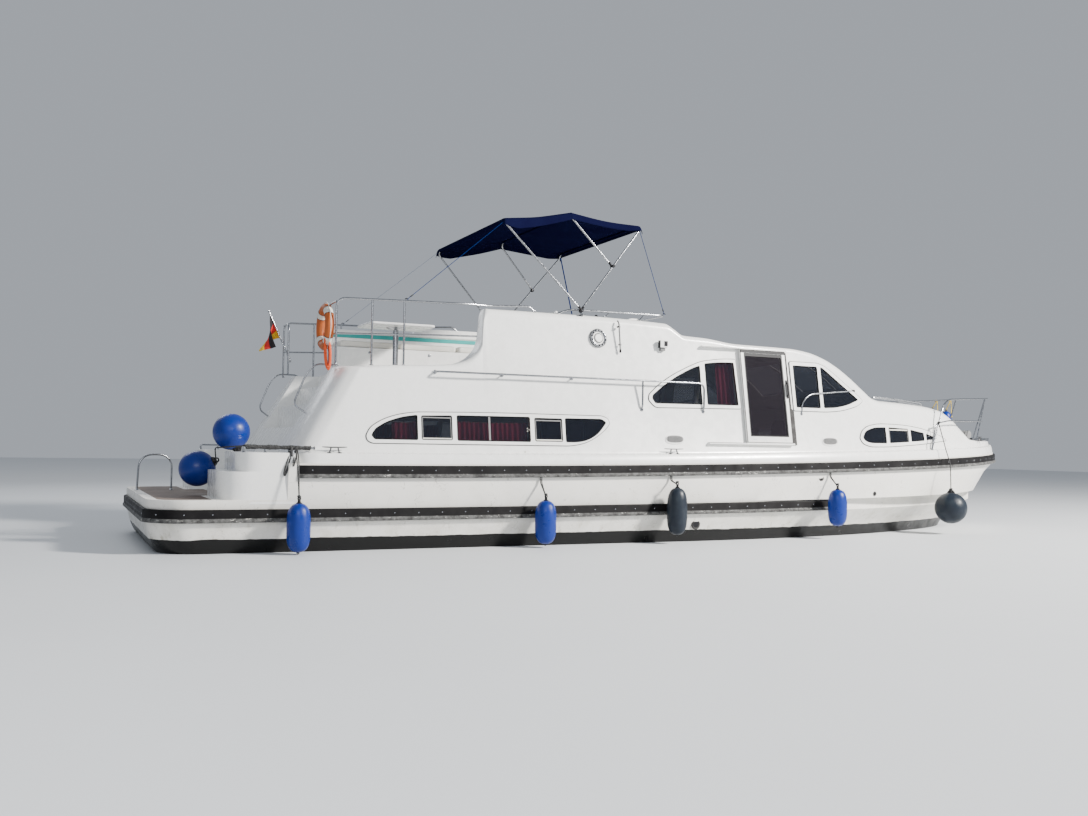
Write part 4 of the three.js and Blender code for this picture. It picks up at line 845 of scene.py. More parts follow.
def screen_plan(inset=0.0):
    """The windscreen in plan: two arcs, x = edge + bulge (1 - (y / 1500)^2), joined at their ends."""
    v = np.linspace(-1, 1, 41)
    edge = lambda x, half, bulge: np.column_stack([x + bulge * (1 - (v * half / 1500) ** 2), v * half])
    aft, fore = edge(SCREEN_TOP + inset, 1180 - inset, 320), edge(SCREEN_FOOT - inset, 1290 - inset, 420)
    return np.vstack([aft, fore[::-1]])


openings = []
for outline in (AFT_BAND, SALOON, WHEELHOUSE, FORE_BAND, DOOR_HOLE):
    round_one = eased(outline, 50 if outline is DOOR_HOLE else 26)
    openings.append(slab(round_one, -2300, -1100 if outline is FORE_BAND else -1330))
openings = weld(*openings)
cabin = outward(closed_skin(rings(sections())))
cabin = combined(cabin, air, well, stairs, openings, mirrored(openings), plan(screen_plan(), 1950, 2850))
piece("cabin_shell", cabin, cabin_white, sharp=32, bevel=6, stands_for="superstructure")
print("cabin faces", sum(len(f) for f in cabin[1]))


# %% [markdown]
# ## Rub rails
# One rubber section, a flat band over a proud lip, is carried round each line of the hull. Its points lie
# at (d, h): d outboard of the line and h over the rail's foot. Round-headed screws hold its band.

# %% Rub rails
RAIL = np.array([(0.3, 0), (34, 0), (47, 4), (50, 14), (50, 30), (46, 40), (40, 45), (38, 52), (38, 134),
    (34, 146), (26, 150), (0.3, 150)])
SCREW_FIRST, SCREW_STEP = 150, 300


def far_along(path):
    """The length of a polyline up to each of its points."""
    return np.r_[0, np.cumsum(np.linalg.norm(np.diff(path, axis=0), axis=1))]


def placed(s, far, rows):
    """The rows of a table read at the distances s, between their own distances far."""
    return np.column_stack([np.interp(s, far, column) for column in rows.T])


def rail_path(line, aft, fore):
    """The plan line between two places of x, from starboard to port, or through the stern or stem."""
    half = hull_line(line, 260, 14)[:, :2]
    half = half[(half[:, 0] > aft) & (half[:, 0] < fore)]
    if aft > STERN:
        half = np.vstack([[aft, np.interp(aft, half[:, 0], half[:, 1])], half])
        return np.vstack([half[:-1] * [1, -1], half[-1:], half[-2::-1]])
    half = np.vstack([half, [fore, np.interp(fore, half[:, 0], half[:, 1])]])
    return np.vstack([half[::-1], half * [1, -1]])


def rub_rail(name, path, foot, node):
    t = np.gradient(path, axis=0)
    normal = unit(np.column_stack([t[:, 1], -t[:, 0]]))
    middle = len(path) // 4
    normal *= np.sign(normal[middle, 1] * path[middle, 1])
    length = far_along(path)
    end = np.minimum(length, length[-1] - length)
    reach = 0.55 + 0.45 * np.sqrt(1 - (1 - np.minimum(1, end / 40)) ** 2)
    d = RAIL[None, :, 0] * reach[:, None]
    flat = path[:, None] + normal[:, None] * d[..., None]
    rail = piece(name, capped(np.dstack([flat, foot(path[:, None, 0]) + RAIL[None, :, 1]])), rubber, sharp=50,
        stands_for=node)
    mark = rail.data.attributes.new("lip", "FLOAT", "POINT")
    mark.data.foreach_set("value", np.tile((RAIL[:, 1] < 48).astype(float), len(path)))
    at, way = (placed(np.arange(SCREW_FIRST, length[-1] - 100, SCREW_STEP), length, rows)
        for rows in (path, normal))
    heads = np.delete(turned([(0, -2), (9, -2), (9, 0), (6, 3), (0, 4)], sides=10)[0], 30, 0)
    k = np.arange(10)
    faces = [quads(3, 10, False, True), k[None, ::-1],
        np.stack([20 + k, 20 + (k + 1) % 10, np.full(10, 30)], -1)]
    along = np.column_stack([-way[:, 1], way[:, 0]])
    points = np.zeros((len(at), 31, 3))
    points[:, :, :2] = (
        at[:, None] + way[:, None] * (38 + heads[None, :, 2:3]) + along[:, None] * heads[None, :, :1])
    points[:, :, 2] = foot(at[:, :1]) + 94 + heads[None, :, 1]
    first = 31 * np.arange(len(at))[:, None, None]
    faces = [(one[None] + first).reshape(-1, one.shape[1]) for one in faces]
    piece(name + "_screws", outward((points.reshape(-1, 3), faces)), steel)


rub_rail("rub_rail_upper_band", rail_path(HULL_LINES[9], -5580, STEM + 1), rail_foot, "rub_rail_upper")
rub_rail("rub_rail_lower_band", rail_path(HULL_LINES[5], STERN - 1, 2230), lower_foot, "rub_rail_lower")
print("rub rails done")


# %% [markdown]
# ## Windows
# A window is a white frame with holes for its panes, laid onto the leaning wall. The frame's face is cut
# into triangles by a constrained Delaunay net: its outline and holes are kept as edges, and those
# triangles whose middle is in a hole are dropped. The front and back faces are joined by rims.

# %% Windows
def inside(points, outline):
    """Even-odd rule: a point is inside where a ray along x crosses the outline an odd number of times."""
    x, y = points[:, None, 0], points[:, None, 1]
    a, b = outline[None], np.roll(outline, -1, 0)[None]
    crosses = (a[..., 1] > y) != (b[..., 1] > y)
    slope = (b[..., 0] - a[..., 0]) / np.where(b[..., 1] == a[..., 1], 1, b[..., 1] - a[..., 1])
    return (crosses & (x < a[..., 0] + (y - a[..., 1]) * slope)).sum(1) % 2 == 1


def panel(outline, holes, low, high, place, spacing=None):
    """A closed plate with holes between two distances off a surface. place puts flat points (u, v) on it."""
    loops = [outline] + list(holes)
    points = np.vstack(loops)
    if spacing:
        across, up = (np.arange(outline[:, k].min(), outline[:, k].max(), spacing) for k in (0, 1))
        grid = np.stack(np.meshgrid(across, up), -1).reshape(-1, 2)
        keep = inside(grid, moved_in(outline, spacing * 0.2))
        for hole in holes:
            keep &= ~inside(grid, moved_in(hole, -spacing * 0.2))
        points = np.vstack([points, grid[keep]])
    edges, start = [], 0
    for loop in loops:
        k = start + np.arange(len(loop))
        edges.append(np.stack([k, start + (np.arange(len(loop)) + 1) % len(loop)], -1))
        start += len(loop)
    edges = np.vstack(edges)
    flat, _, found, came, _, _ = delaunay_2d_cdt(points.tolist(), edges.tolist(), [], 0, 1e-4, True)
    flat, found = np.array([list(p) for p in flat]), np.array(found)
    middle = flat[found].mean(1)
    keep = inside(middle, outline)
    for hole in holes:
        keep &= ~inside(middle, hole)
    found = found[keep]
    new = np.full(len(points), -1)
    for number, olds in enumerate(came):
        new[olds] = number
    n = len(flat)
    rim = new[edges]
    rim = np.column_stack([rim, rim[:, ::-1] + n])
    used = {tuple(e) for e in np.vstack([found[:, [0, 1]], found[:, [1, 2]], found[:, [2, 0]]]).tolist()}
    rim = np.array([r if (r[1], r[0]) in used else [r[1], r[0], r[3], r[2]] for r in rim.tolist()])
    return outward((np.vstack([place(flat, high), place(flat, low)]), [found, found[:, ::-1] + n, rim]))


for name, (outline, panes) in WINDOWS.items():
    spacing = 90 if name in ("wheelhouse_window", "fore_window") else None
    edge = moved_in(eased(outline), 0.4)
    holes = [eased(p, 22, 300) for p in panes]
    node = name + "_*"
    pair(node + "_frame", panel(edge, holes, -44, 12, on_side, spacing), cabin_white, bevel=3,
        stands_for=node, slot="window")
    pair(node + "_glass", weld(*[panel(moved_in(h, 0.5), [], -6, 1, on_side, spacing) for h in holes]), glass)
    pair(node + "_gaskets", weld(*[hoop(on_side(moved_in(h, 3), 9), 7) for h in holes]), rubber)
    # A dark grey bead round each frame's outer edge: a sealant bead, made dark as painted shade where the
    # frame meets the wall.
    pair(node + "_seal", hoop(on_side(moved_in(edge, -3), 3), 6.5), seal)
print("windows done")

# %% [markdown]
# ## Windscreen
# The roof curves both ways, so a point over plan (x, y) is found by asking which section bulges forward
# to it: x0 = x - bulge(x0) (1 - (y / wall)^2), repeated until it settles. The screen is a panel with
# three panes drawn in plan and dropped onto that surface.

# %% Roof surface and windscreen
def roof(points, off=0.0):
    """Plan points (x, y) lifted onto the roof, off above it along the surface's normal."""
    def lift(x, y):
        x0 = np.array(x, float)
        for _ in range(14):
            row = smooth_through(x0, STATIONS[:, 0], STATIONS[:, 1:])
            wall = sheer(x0) - WALL_FOOT * np.minimum(1, sheer(x0) / 900) - TUMBLEHOME * (row[:, 2] - 1200)
            x0 = x - row[:, 5] * (1 - np.minimum(1, np.abs(y) / wall) ** 2)
        c = wall - np.minimum(row[:, 4], wall * 0.4)
        return row[:, 2] + (row[:, 3] - row[:, 2]) * (1 - np.minimum(1, np.abs(y) / c) ** 2)

    x, y = np.asarray(points, float).T
    slopes = [(lift(x - 5, y) - lift(x + 5, y)) / 10, (lift(x, y - 5) - lift(x, y + 5)) / 10]
    return np.column_stack([x, y, lift(x, y)]) + off * unit(np.column_stack([*slopes, np.ones(len(x))]))


def screen_point(u, v):
    """u runs from the screen's top edge, 0, to its foot, 1, and v across it from -1 to 1."""
    half = 1180 + 110 * u
    top = SCREEN_TOP + 320 * (1 - (v * 1180 / 1500) ** 2)
    foot = SCREEN_FOOT + 420 * (1 - (v * 1290 / 1500) ** 2)
    return np.column_stack([top + (foot - top) * u, v * half])


def screen_pane(v0, v1, u0=0.09, u1=0.92):
    v, u = np.linspace(v0, v1, 14), np.linspace(u0, u1, 10)[1:-1]
    ring = np.vstack([screen_point(np.full(14, u0), v), screen_point(u, np.full(8, v1)),
                      screen_point(np.full(14, u1), v[::-1]), screen_point(u[::-1], np.full(8, v0))])
    return corners(ring, lambda turn: 45 if turn > 50 else 1, 6, closed=True)


PANES = [screen_pane(-0.95, -0.37), screen_pane(-0.32, 0.32), screen_pane(0.37, 0.95)]
piece("windscreen_frame", panel(screen_plan(0.4), PANES, -24, 6, roof, 80), cabin_white, bevel=3,
    stands_for="windscreen", slot="windscreen")
screen_glass = weld(*[panel(moved_in(p, 0.5), [], -8, -2, roof, 80) for p in PANES])
piece("windscreen_glass", screen_glass, glass_clear, slot="windscreen")
piece("windscreen_gaskets", weld(*[hoop(roof(moved_in(p, 3), 3), 7) for p in PANES]), rubber)
for number, v in enumerate((-0.66, 0.66)):
    foot_at = roof(screen_point(np.array([1.03]), np.array([v])), 12)[0]
    arm = roof(screen_point(np.linspace(1.03, 0.45, 8), np.linspace(v, v * 0.75, 8)), 16)
    blade = roof(screen_point(np.linspace(0.75, 0.28, 12), np.full(12, v * 0.62)), 10)
    cap = turned([(0, -16), (24, -16), (24, 6), (16, 14), (0, 14)], foot_at, 20)
    shape = weld(wire(arm, 5), wire(blade, 7, flat=0.5), cap, wire([arm[-1], blade[5]], 4, 6))
    piece(f"wiper_{number + 1}", shape, black)
print("windscreen done")

# %% [markdown]
# ## Side doors
# Each door is one tall pane in a white frame, on a leaning flat plane just outboard of the wall. It slides
# aft along a track at its foot and head.

# %% Doors and tracks
def on_plane(p, off):
    """(x, z) on the flat, leaning plane of the straight part of the cabin side."""
    return np.column_stack([p[:, 0], -side_y(np.zeros(len(p)), p[:, 1], off), p[:, 1]])


def plate(x0, x1, z0, z1, low, high, radius=0.0, hole=None):
    """An oblong plate between two distances off the cabin side's plane, with a hole if one is given."""
    ring = oblong(x0, x1, z0, z1, radius, 7) if radius else square(x0, x1, z0, z1)
    return panel(ring, [oblong(*hole, 7)] if hole else [], low, high, on_plane)


def square(x0, x1, z0, z1):
    return np.array([[x0, z0], [x1, z0], [x1, z1], [x0, z1]], float)


x0, x1, z0, z1, f = 760, 1550, 1370, 2712, 58
leaf = plate(x0, x1, z0 + 1, z1 - 1, 18, 50, 14, (x0 + f, x1 - f, z0 + 88, z1 - 50, 10))
door_glass = plate(x0 + f + 1, x1 - f - 1, z0 + 89, z1 - 51, 31, 37, 9)
border = plate(x0 + f + 0.5, x1 - f - 0.5, z0 + 88.5, z1 - 50.5, 37.2, 47, 9,
    (x0 + f + 20, x1 - f - 20, z0 + 106, z1 - 96, 22))
head_bar = plate(x0 + 6, x1 - 6, z1 - 46, z1 - 6, 50.2, 55, 4)
grip = on_plane(np.array([[1522, z] for z in (2050, 2080, 2230, 2260)]), 0)
grip -= [[0, y, 0] for y in (50, 84, 84, 50)]
handle = weld(swept(grip, 8, 20), plate(1506, 1538, 2020, 2290, 50.2, 54, 10))
screw_at = on_plane(np.array([[x, z0 + 44] for x in (x0 + 110, x0 + 140, x1 - 140, x1 - 110)]), 50)
screws = weld(*[turned([(0, 0), (7, 0), (7, 2), (4, 4), (0, 4)], at, 12, "y") for at in screw_at])
tracks = weld(plate(120, 1580, z0 - 26, z0 - 1, -4, 54, 6), plate(120, 1580, z1 + 2, z1 + 19, -4, 54, 6))
# Thin black strips on the tracks' outer faces are painted shade of the slots; no slot is cut.
track_slot_shade = weld(plate(124, 750, z0 - 9, z0 - 4, 54.2, 56), plate(124, 750, z1 + 6, z1 + 11, 54.2, 56))
leaf_line = hoop(on_plane(oblong(x0 + 3, x1 - 3, z0 + 4, z1 - 4, 14, 7), 50), 5)
jamb = np.array([[1558, 1345], [1650, 1345], [1650, 1840], [1612, 1880], [1600, 2700], [1558, 2700]], float)
DOOR_PARTS = [("frame", leaf, cabin_white, 4), ("glass", door_glass, glass_clear, 0),
              ("border", weld(border, head_bar), black, 1.5), ("edge", leaf_line, seal, 0),
              ("handle", handle, black, 1.5), ("screws", screws, steel, 0)]
for part, shape, finish, soft in DOOR_PARTS:
    main = dict(stands_for="side_door_*", slot="side_door") if part == "frame" else {}
    pair("side_door_*_" + part, shape, finish, "door_*", bevel=soft, **main)
pair("door_tracks_*", tracks, cabin_white, bevel=4)
pair("door_track_slots_*", track_slot_shade, black)
# The jamb is gelcoat in the door's recess. It is given the dark seal grey as painted shade.
pair("door_jamb_*", panel(jamb, [], -2, 13, on_plane), seal, bevel=5, slot="gelcoat")
print("doors done")

# %% [markdown]
# ## Rails
# Every rail is a tube swept along a short list of points, with its corners eased into curves, and each
# foot stands on a small turned flange. The port rails are the starboard ones mirrored.

# %% Rails
def flange(at, axis="z", r=30, down=1):
    """A domed foot plate, its top a little up the tube."""
    profile = [(0, 0), (r, 0), (r, 3), (r * 0.8, 6), (r * 0.52, 9), (r * 0.48, 16), (0, 16)]
    return turned(np.array(profile, float) * [1, down], at, 24, axis)


def rail(name, parts, twins=True):
    """A rail's parts as one piece that stands for its solid, or as one on each side."""
    if twins:
        pair(name + "_*_tube", weld(*parts), steel, stands_for=name + "_*")
    else:
        piece(name + "_tube", weld(*parts), steel, stands_for=name)


hand_y = -side_y(0, 2180) - 88
wall_y = lambda z: float(-side_y(0, z))
hand_foot = lambda x: [[x, hand_y, 1836], [x, wall_y(1790) + 8, 1790]]
hand = [swept([[-3850, wall_y(2180) + 8, 2180], [-3850, hand_y, 2180], [78, hand_y, 2185], *hand_foot(78)],
    TUBE_R, 110), swept([[-910, hand_y, 2180], *hand_foot(-910)], TUBE_R, 30)]
hand += [swept([[x, hand_y, 2180], [x, wall_y(2175) + 8, 2175]], 9, 0) for x in (-2950, -1950)]
hand += [flange((x, wall_y(z) - 1, z), "y", 26, -1)
    for x, z in ((-3850, 2180), (78, 1790), (-910, 1790), (-2950, 2175), (-1950, 2175))]
rail("side_handrail", hand)

AFT_POST, rail_y = -5085, -1590
aft = [swept([[AFT_POST, rail_y, 2222], [AFT_POST, rail_y, 3035], [-3450, rail_y, 3075], [-3050, -1500, 3085],
              [-2480, -1480, 3120], [-2400, -1480, 3048]], TUBE_R, 120),
       swept([[AFT_POST, rail_y, 2600], [-3560, rail_y, 2660], [-3245, -1560, 2672]], 11, 60),
       swept([[AFT_POST, rail_y, 2990], [AFT_POST, -1240, 2990], [AFT_POST, -1240, 2240]], TUBE_R, 110),
       swept([[AFT_POST, rail_y, 2600], [AFT_POST, -1240, 2600]], 11, 0)]
aft += [swept([[x, rail_y, 2232], [x, rail_y, top]], TUBE_R, 0) for x, top in ((-4640, 3045), (-4230, 3055))]
aft += [flange(at) for at in ((AFT_POST, rail_y, 2222), (-4640, rail_y, 2234), (-4230, rail_y, 2250),
                              (-2400, -1480, 3052), (AFT_POST, -1240, 2238))]
rail("fly_rail", aft)

fore_y = 1415
across = lambda points, *middle: [*points, *middle, *[[x, -y, z] for x, y, z in points[::-1]]]
fore = [swept(across([[-2080, -fore_y, 3042], [-1860, -fore_y, 3130], [-330, -fore_y, 3145]]), TUBE_R, 150)]
fore += [swept([[x - 70, y, 3044], [x + 20, y, 3137]], 10, 0)
    for x in (-1250, -700) for y in (fore_y, -fore_y)]
fore += [flange((x, y, 3056), r=24) for x in (-2080, -1320, -770) for y in (fore_y, -fore_y)]
rail("fly_rail_fore", fore, False)

top_rail = [[4500, -1590, 1330], [4880, -1450, 2040], [5100, -1340, 2140], [5900, -1000, 2185],
    [6600, -600, 2225], [7200, -220, 2262]]
mid_rail = [[4430, -1655, 1310], [4540, -1625, 1730], [5000, -1450, 1790], [5500, -1250, 1800],
    [5900, -1010, 1812], [6600, -590, 1832], [7080, -200, 1845]]
pulpit = [swept(across(top_rail, [7400, 0, 2275]), TUBE_R, 150),
    swept(across(mid_rail, [7285, 0, 1850]), 11, 120)]
pulpit += [swept([[6700, y, 1480], [7000, y * 1.02, 2250]], 11, 0) for y in (-330, 330)]
pulpit += [swept([[7152, 0, 1490], [7368, 0, 2272]], 11, 0)]
pulpit += [flange(at) for at in ((6700, -330, 1484), (6700, 330, 1484), (7152, 0, 1492))]
pulpit += [flange((x, y * s, z), r=28)
    for x, y, z in ((4500, 1590, 1322), (4430, 1655, 1306)) for s in (-1, 1)]
rail("pulpit", pulpit, False)

stair = [[-5340, -1235, 1630], [-5500, -1180, 1735], [-5350, -1200, 2120], [-5240, -1200, 2245],
         [-4990, -1200, 2245], [-4960, -1200, 2225]]
rail("stair_rail", [swept(stair, 11, 90), flange((-4962, -1200, 2226), r=24)])
arch = [[-7130, 720, 610], [-7110, 725, 1080], [-6690, 815, 1080], [-6690, 815, 608]]
arch_feet = [flange(arch[0]), flange(arch[-1])]
rail("platform_hoop", [swept(arch, TUBE_R, 200, steps=16), *arch_feet], False)
quarter = [swept([[-6190, -1880, 1151], [-6190, -1880, 1215], [-5380, -1900, 1205]], TUBE_R, 50),
           flange((-5388, -1900, 1205), "x", 26, -1)]
quarter += [swept([[x, -1880, 1151], [x, -1880, 1212]], 10, 0) for x in (-5950, -5680)]
quarter += [flange((x, -1880, 1151), r=24) for x in (-6190, -5950, -5680)]
rail("quarter_rail", quarter)
print("rails done")

# %% [markdown]
# ## Fenders
# A cylinder fender is a body of revolution r = R (1 - |s|^p)^(1/q), between a dark neck with a rope eye at
# the top and a blind end below. The ball fenders have a ribbed collar. Each hangs from its own rope.

# %% Fenders and their ropes
def rope(points, r=8, bend=60):
    """A rope of three strands: the radius swells three times round and turns as it runs."""
    path = corners(points, bend, 8)
    length = far_along(path)
    s = np.linspace(0, length[-1], max(4, int(length[-1] / 9)))
    core, faces = wire(placed(s, length, path), r, 12)
    ring = core[:len(s) * 12].reshape(len(s), 12, 3)
    middle = ring.mean(1, keepdims=True)
    a = np.arange(12) * 2 * np.pi / 12
    swell = 0.88 + 0.14 * np.abs(np.cos(1.5 * (a[None] - s[:, None] / (r * 2.4))))
    return (middle + (ring - middle) * swell[..., None]).reshape(-1, 3), faces


def turned_to(shape, direction, at):
    """A shape built up +Z, turned so that +Z points along direction, and moved to a place."""
    points, faces = shape
    w = np.asarray(direction, float) / np.linalg.norm(direction)
    u = np.cross([0, 1, 0] if abs(w[1]) < 0.9 else [1, 0, 0], w)
    u /= np.linalg.norm(u)
    v = np.cross(w, u)
    return points[:, :1] * u + points[:, 1:2] * v + points[:, 2:] * w + np.asarray(at, float), faces


def ring_eye(radius, height, thick):
    """An upright ring across Y, its middle at a height."""
    a = circle(24)
    return hoop(np.column_stack([np.cos(a) * radius, 0 * a, height + np.sin(a) * radius]), thick, 12)


def neck(r0, r1, rise_to):
    """A dark collar that tapers to an eye, and the eye itself."""
    cap = turned([(0, -30), (r0, -30), (r0, -6), (r0 * 0.9, 6), (r1 * 1.1, 20), (r1, rise_to),
        (r1 * 0.8, rise_to + 10), (0, rise_to + 10)], sides=28)
    return weld(cap, ring_eye(r1 * 0.95, rise_to + 14, r1 * 0.42))


def knot(at, r):
    a = circle(59)
    trefoil = [np.sin(a) + 2 * np.sin(2 * a), np.cos(a) - 2 * np.cos(2 * a), -np.sin(3 * a) * 1.4]
    return hoop(np.column_stack(trefoil) * r * 0.75 + np.asarray(at, float), r * 0.9)


def sausage(radius, half, steps, power, root, at, sides, taper=0.0):
    """A fender's body: r = R (1 - |s|^power)^(1/root) at height s half, a little slimmer above."""
    s = np.sin(np.linspace(-np.pi / 2, np.pi / 2, steps))
    r = radius * (1 - np.abs(s) ** power) ** (1 / root)
    r *= 1 - taper * np.clip(s, 0, 1)
    return turned(np.column_stack([np.r_[0, r[1:-1], 0], s * half]), at, sides)


FENDER_R = 135
under_rail = lambda x: [[-(sheer(x) + 25), rail_foot(x) - 60], [-(sheer(x) + 25), rail_foot(x) + 8]]
CYLINDERS = [("a", -5610, 305, 570, [[-2075, 1040], [-2000, 1172], [-1900, 1204]]),
             ("b", -2520, 320, 560, under_rail(-2520)), ("c", -590, 435, 640, under_rail(-590)),
             ("d", 2120, 455, 540, under_rail(2120))]
for letter, x, z, long, path in CYLINDERS:
    node = "fender_" + letter
    y = -(float(sheer(x)) + RUB_DEPTH + FENDER_R + 0.3)
    h = long / 2
    body = sausage(FENDER_R, h - 8, 41, 3.4, 2.6, (x, y, z), 48, 0.02)
    piece(node + "_body", body, fender_navy if letter == "c" else fender_blue, sharp=60, stands_for=node)
    cap = turned_to(neck(40, 17, 44), (0, 0, 1), (x, y, z + h - 14))
    end = turned_to(neck(26, 13, 6), (0, 0, -1), (x, y, z - h + 22))
    piece(node + "_eyes", weld(cap, end), black)
    top = np.array([x, y, z + h + 44])
    strands = [rope([top + [0, 0, -10], *[np.array([x + aside, a, b], float) for a, b in path]], 7)
        for aside in (-9, 11)]
    piece(node + "_lanyard", weld(*strands, knot(top + [0, 0, 24], 8)), rope_dark)

BALLS = [("ball_fender_quarter", (-6220, -1150, 1385.3), 218, fender_blue, (0.3, -0.25, -0.92)),
         ("ball_fender_platform", (-6550, -725, 934), 218, fender_blue, (0.86, -0.3, 0.42)),
         ("ball_fender_bow", (4580, -1905, 412), 242, fender_navy, (0, 0, 1))]
for name, centre, R, finish, way in BALLS:
    a = np.linspace(-np.pi / 2, np.pi / 2, 49)[:-4]
    profile = [np.r_[0, R * np.cos(a[1:]), 30, 0], np.r_[R * np.sin(a), R * 0.99, R * 0.99]]
    ball = turned_to(turned(np.column_stack(profile), sides=64), way, centre)
    piece(name + "_body", ball, finish, sharp=60, stands_for=name)
    collar = [turned([(0, R - 30), (62, R - 30), (62, R - 8), (52, R + 4), (36, R + 12), (30, R + 34),
        (0, R + 34)], sides=32)]
    for b in np.arange(8) * np.pi / 4:
        c, s = math.cos(b), math.sin(b)
        collar.append(wire([[58 * c, 58 * s, R - 10], [34 * c, 34 * s, R + 30]], 5))
    collar.append(ring_eye(24, R + 36, 9))
    piece(name + "_collar", turned_to(weld(*collar), way, centre), black)
way = BALLS[1][4]
platform_eye = np.array([-6550, -725, 934]) + 245 * np.array(way) / np.linalg.norm(way)
platform_rope = rope([platform_eye, [-6380, -960, 1190], [-6290, -1400, 1205], [-6170, -1870, 1226]], 8)
piece("ball_fender_platform_lanyard", weld(platform_rope, knot([-6168, -1876, 1222], 9)), rope_dark)
bow_rope = rope([[4580, -1905, 684], [4588, -1885, 1100], [4600, -1790, 1290], [4618, -1625, 1700],
    [4625, -1594, 1762]], 8, 40)
bow_knots = [knot([4580, -1905, 700], 10), knot([4622, -1608, 1745], 9)]
piece("ball_fender_bow_lanyard", weld(bow_rope, *bow_knots), rope_dark)
for number, (x, y) in enumerate(((6740, 653), (6960, 533))):
    name = f"bow_fender_{number + 1}"
    small = sausage(98, 165, 31, 2.6, 2.2, (x, y, 1905 - number * 30), 40)
    piece(name, small, fender_blue, sharp=60)
    top = np.array([x, y, 2070 - number * 30])
    rail_at = np.array([x + 10, y - 94, 2236 + number * 12])
    piece(name + "_eye", turned_to(neck(26, 13, 20), (0, 0, 1), top - [0, 0, 8]), black)
    lines_up = [rope([top + [0, 0, 26], rail_at + [-8, 10, -40], rail_at], 7),
                rope([rail_at + [14, 6, 2], rail_at + [40, 16, -130], rail_at + [36, 16, -300]], 6),
                knot(rail_at + [2, 6, -6], 10), knot(rail_at + [36, 16, -306], 8)]
    piece(name + "_lanyard", weld(*lines_up), rope_yellow)
print("fenders done")

# %% [markdown]
# ## Lifebuoy, flag and awning
# The lifebuoy is a ring of round section, with four white bands and a grab line. The flag hangs limp: its
# hoist lies along the leaning staff, and its fly turns through a half twist as it falls.

# %% Lifebuoy
buoy_at = np.array([AFT_POST - TUBE_R - 56.3, -1300, 2700])
arc = lambda r, a: np.column_stack([0 * a, r * np.cos(a), r * np.sin(a)]) + buoy_at
piece("lifebuoy_ring", hoop(arc(232, circle(72)), 55, 28), buoy_skin, sharp=60, stands_for="lifebuoy")
middles = np.pi / 4 + np.arange(4) * np.pi / 2
bands = [wire(arc(232, b + np.linspace(-0.2, 0.2, 13)), 56.6, 28) for b in middles]
cuffs = [wire(arc(232, b + end + np.linspace(-0.012, 0.012, 3)), 57.6, 28)
    for b in middles for end in (-0.2, 0.2)]
piece("lifebuoy_bands", weld(*bands), white_band)
piece("lifebuoy_cuffs", weld(*cuffs), black, slot="lifebuoy")
t = circle(160)
slack = 232 + 56 + 6 + 14 * np.abs(np.sin(2 * (t - np.pi / 4)))
piece("lifebuoy_line", hoop(arc(slack, t), 4.5), white_band)


# %% Flag
def cloth(front, thick=1.5):
    """A grid of points as a thin closed sheet: a second layer lies thick behind it, and a rim joins them."""
    rows, n = front.shape[:2]
    du, dv = np.gradient(front, axis=0), np.gradient(front, axis=1)
    normal = np.cross(du, dv)
    normal /= np.maximum(np.linalg.norm(normal, axis=2), 1e-9)[..., None]
    back = front - thick * normal
    k = np.arange(rows * n).reshape(rows, n)
    edge = np.r_[k[0], k[1:, -1], k[-1, -2::-1], k[-2:0:-1, 0]]
    after = np.roll(edge, -1)
    size = rows * n
    face = quads(rows, n)
    rim = np.stack([after, edge, edge + size, after + size], -1)
    points = np.vstack([front.reshape(-1, 3), back.reshape(-1, 3)])
    return outward((points, [face[:, ::-1], face + size, rim[:, ::-1]]))


def declare(thing, front):
    """Prints a piece's name with the sheet's width and length, measured along the cloth, and its area over
    it.
    """
    along = np.linalg.norm(np.diff(front, axis=0), axis=2).sum(0).mean() * MM
    wide = np.linalg.norm(np.diff(front, axis=1), axis=2).sum(1).mean() * MM
    a, b = front[1:, :-1] - front[:-1, :-1], front[:-1, 1:] - front[:-1, :-1]
    c, d = front[1:, :-1] - front[1:, 1:], front[:-1, 1:] - front[1:, 1:]
    area = sum(np.linalg.norm(np.cross(u, v), axis=2) for u, v in ((a, b), (c, d))).sum() / 2 * 1e-6
    wide, along, area = float(wide), float(along), float(area)
    print(thing.name, round(wide, 2), round(along, 2), round(area, 3))


staff_foot, staff_top = np.array([-5045, 1262, 2440.0]), np.array([-5370, 1262, 3150.0])
reach = staff_top - staff_foot
staff = weld(wire([staff_foot, staff_top], 11, 16),
             turned([(0, -8), (14, -8), (18, 4), (14, 18), (0, 22)], staff_top, 20),
             wire([staff_foot - reach * 0.01, staff_foot + reach * 0.16], 16, 20))
piece("flagstaff_pole", staff, steel, stands_for="flagstaff")
hoist_top, hoist_low = np.array([-5356, 1262, 3120.0]), np.array([-5196, 1262, 2770.0])
fly_black, fly_gold = np.array([-5262, 1235, 2640.0]), np.array([-5490, 1290, 2570.0])
v, u = np.meshgrid(np.linspace(0, 1, 49), np.linspace(0, 1, 31), indexing="ij")
ease = v * v * (3 - 2 * v)
belly = np.sin(np.pi * v)[..., None]
black_edge = hoist_top + (fly_black - hoist_top) * v[..., None] + belly * [-40, -30, 0]
gold_edge = hoist_low + (fly_gold - hoist_low) * ease[..., None] + belly * [-20, 130, 40]
flag = black_edge + (gold_edge - black_edge) * u[..., None]
fold = 14 * np.sin(u * 9 + v * 5) * v + 8 * np.sin(u * 17 - v * 3) * v
flag += fold[..., None] * [0.3, 1, 0]
flag_finish = Finish("flag_cloth", "flag", (0.015, 0.012, 0.014), 0.8)
stripe = flag_finish.attribute("across")
flag_finish.over(flag_finish.span(stripe, 0.33, 0.335), (0.62, 0.02, 0.015))
flag_finish.over(flag_finish.span(stripe, 0.665, 0.67), (0.8, 0.52, 0.02)).grain(0.1, 0.0003, 900, 2)
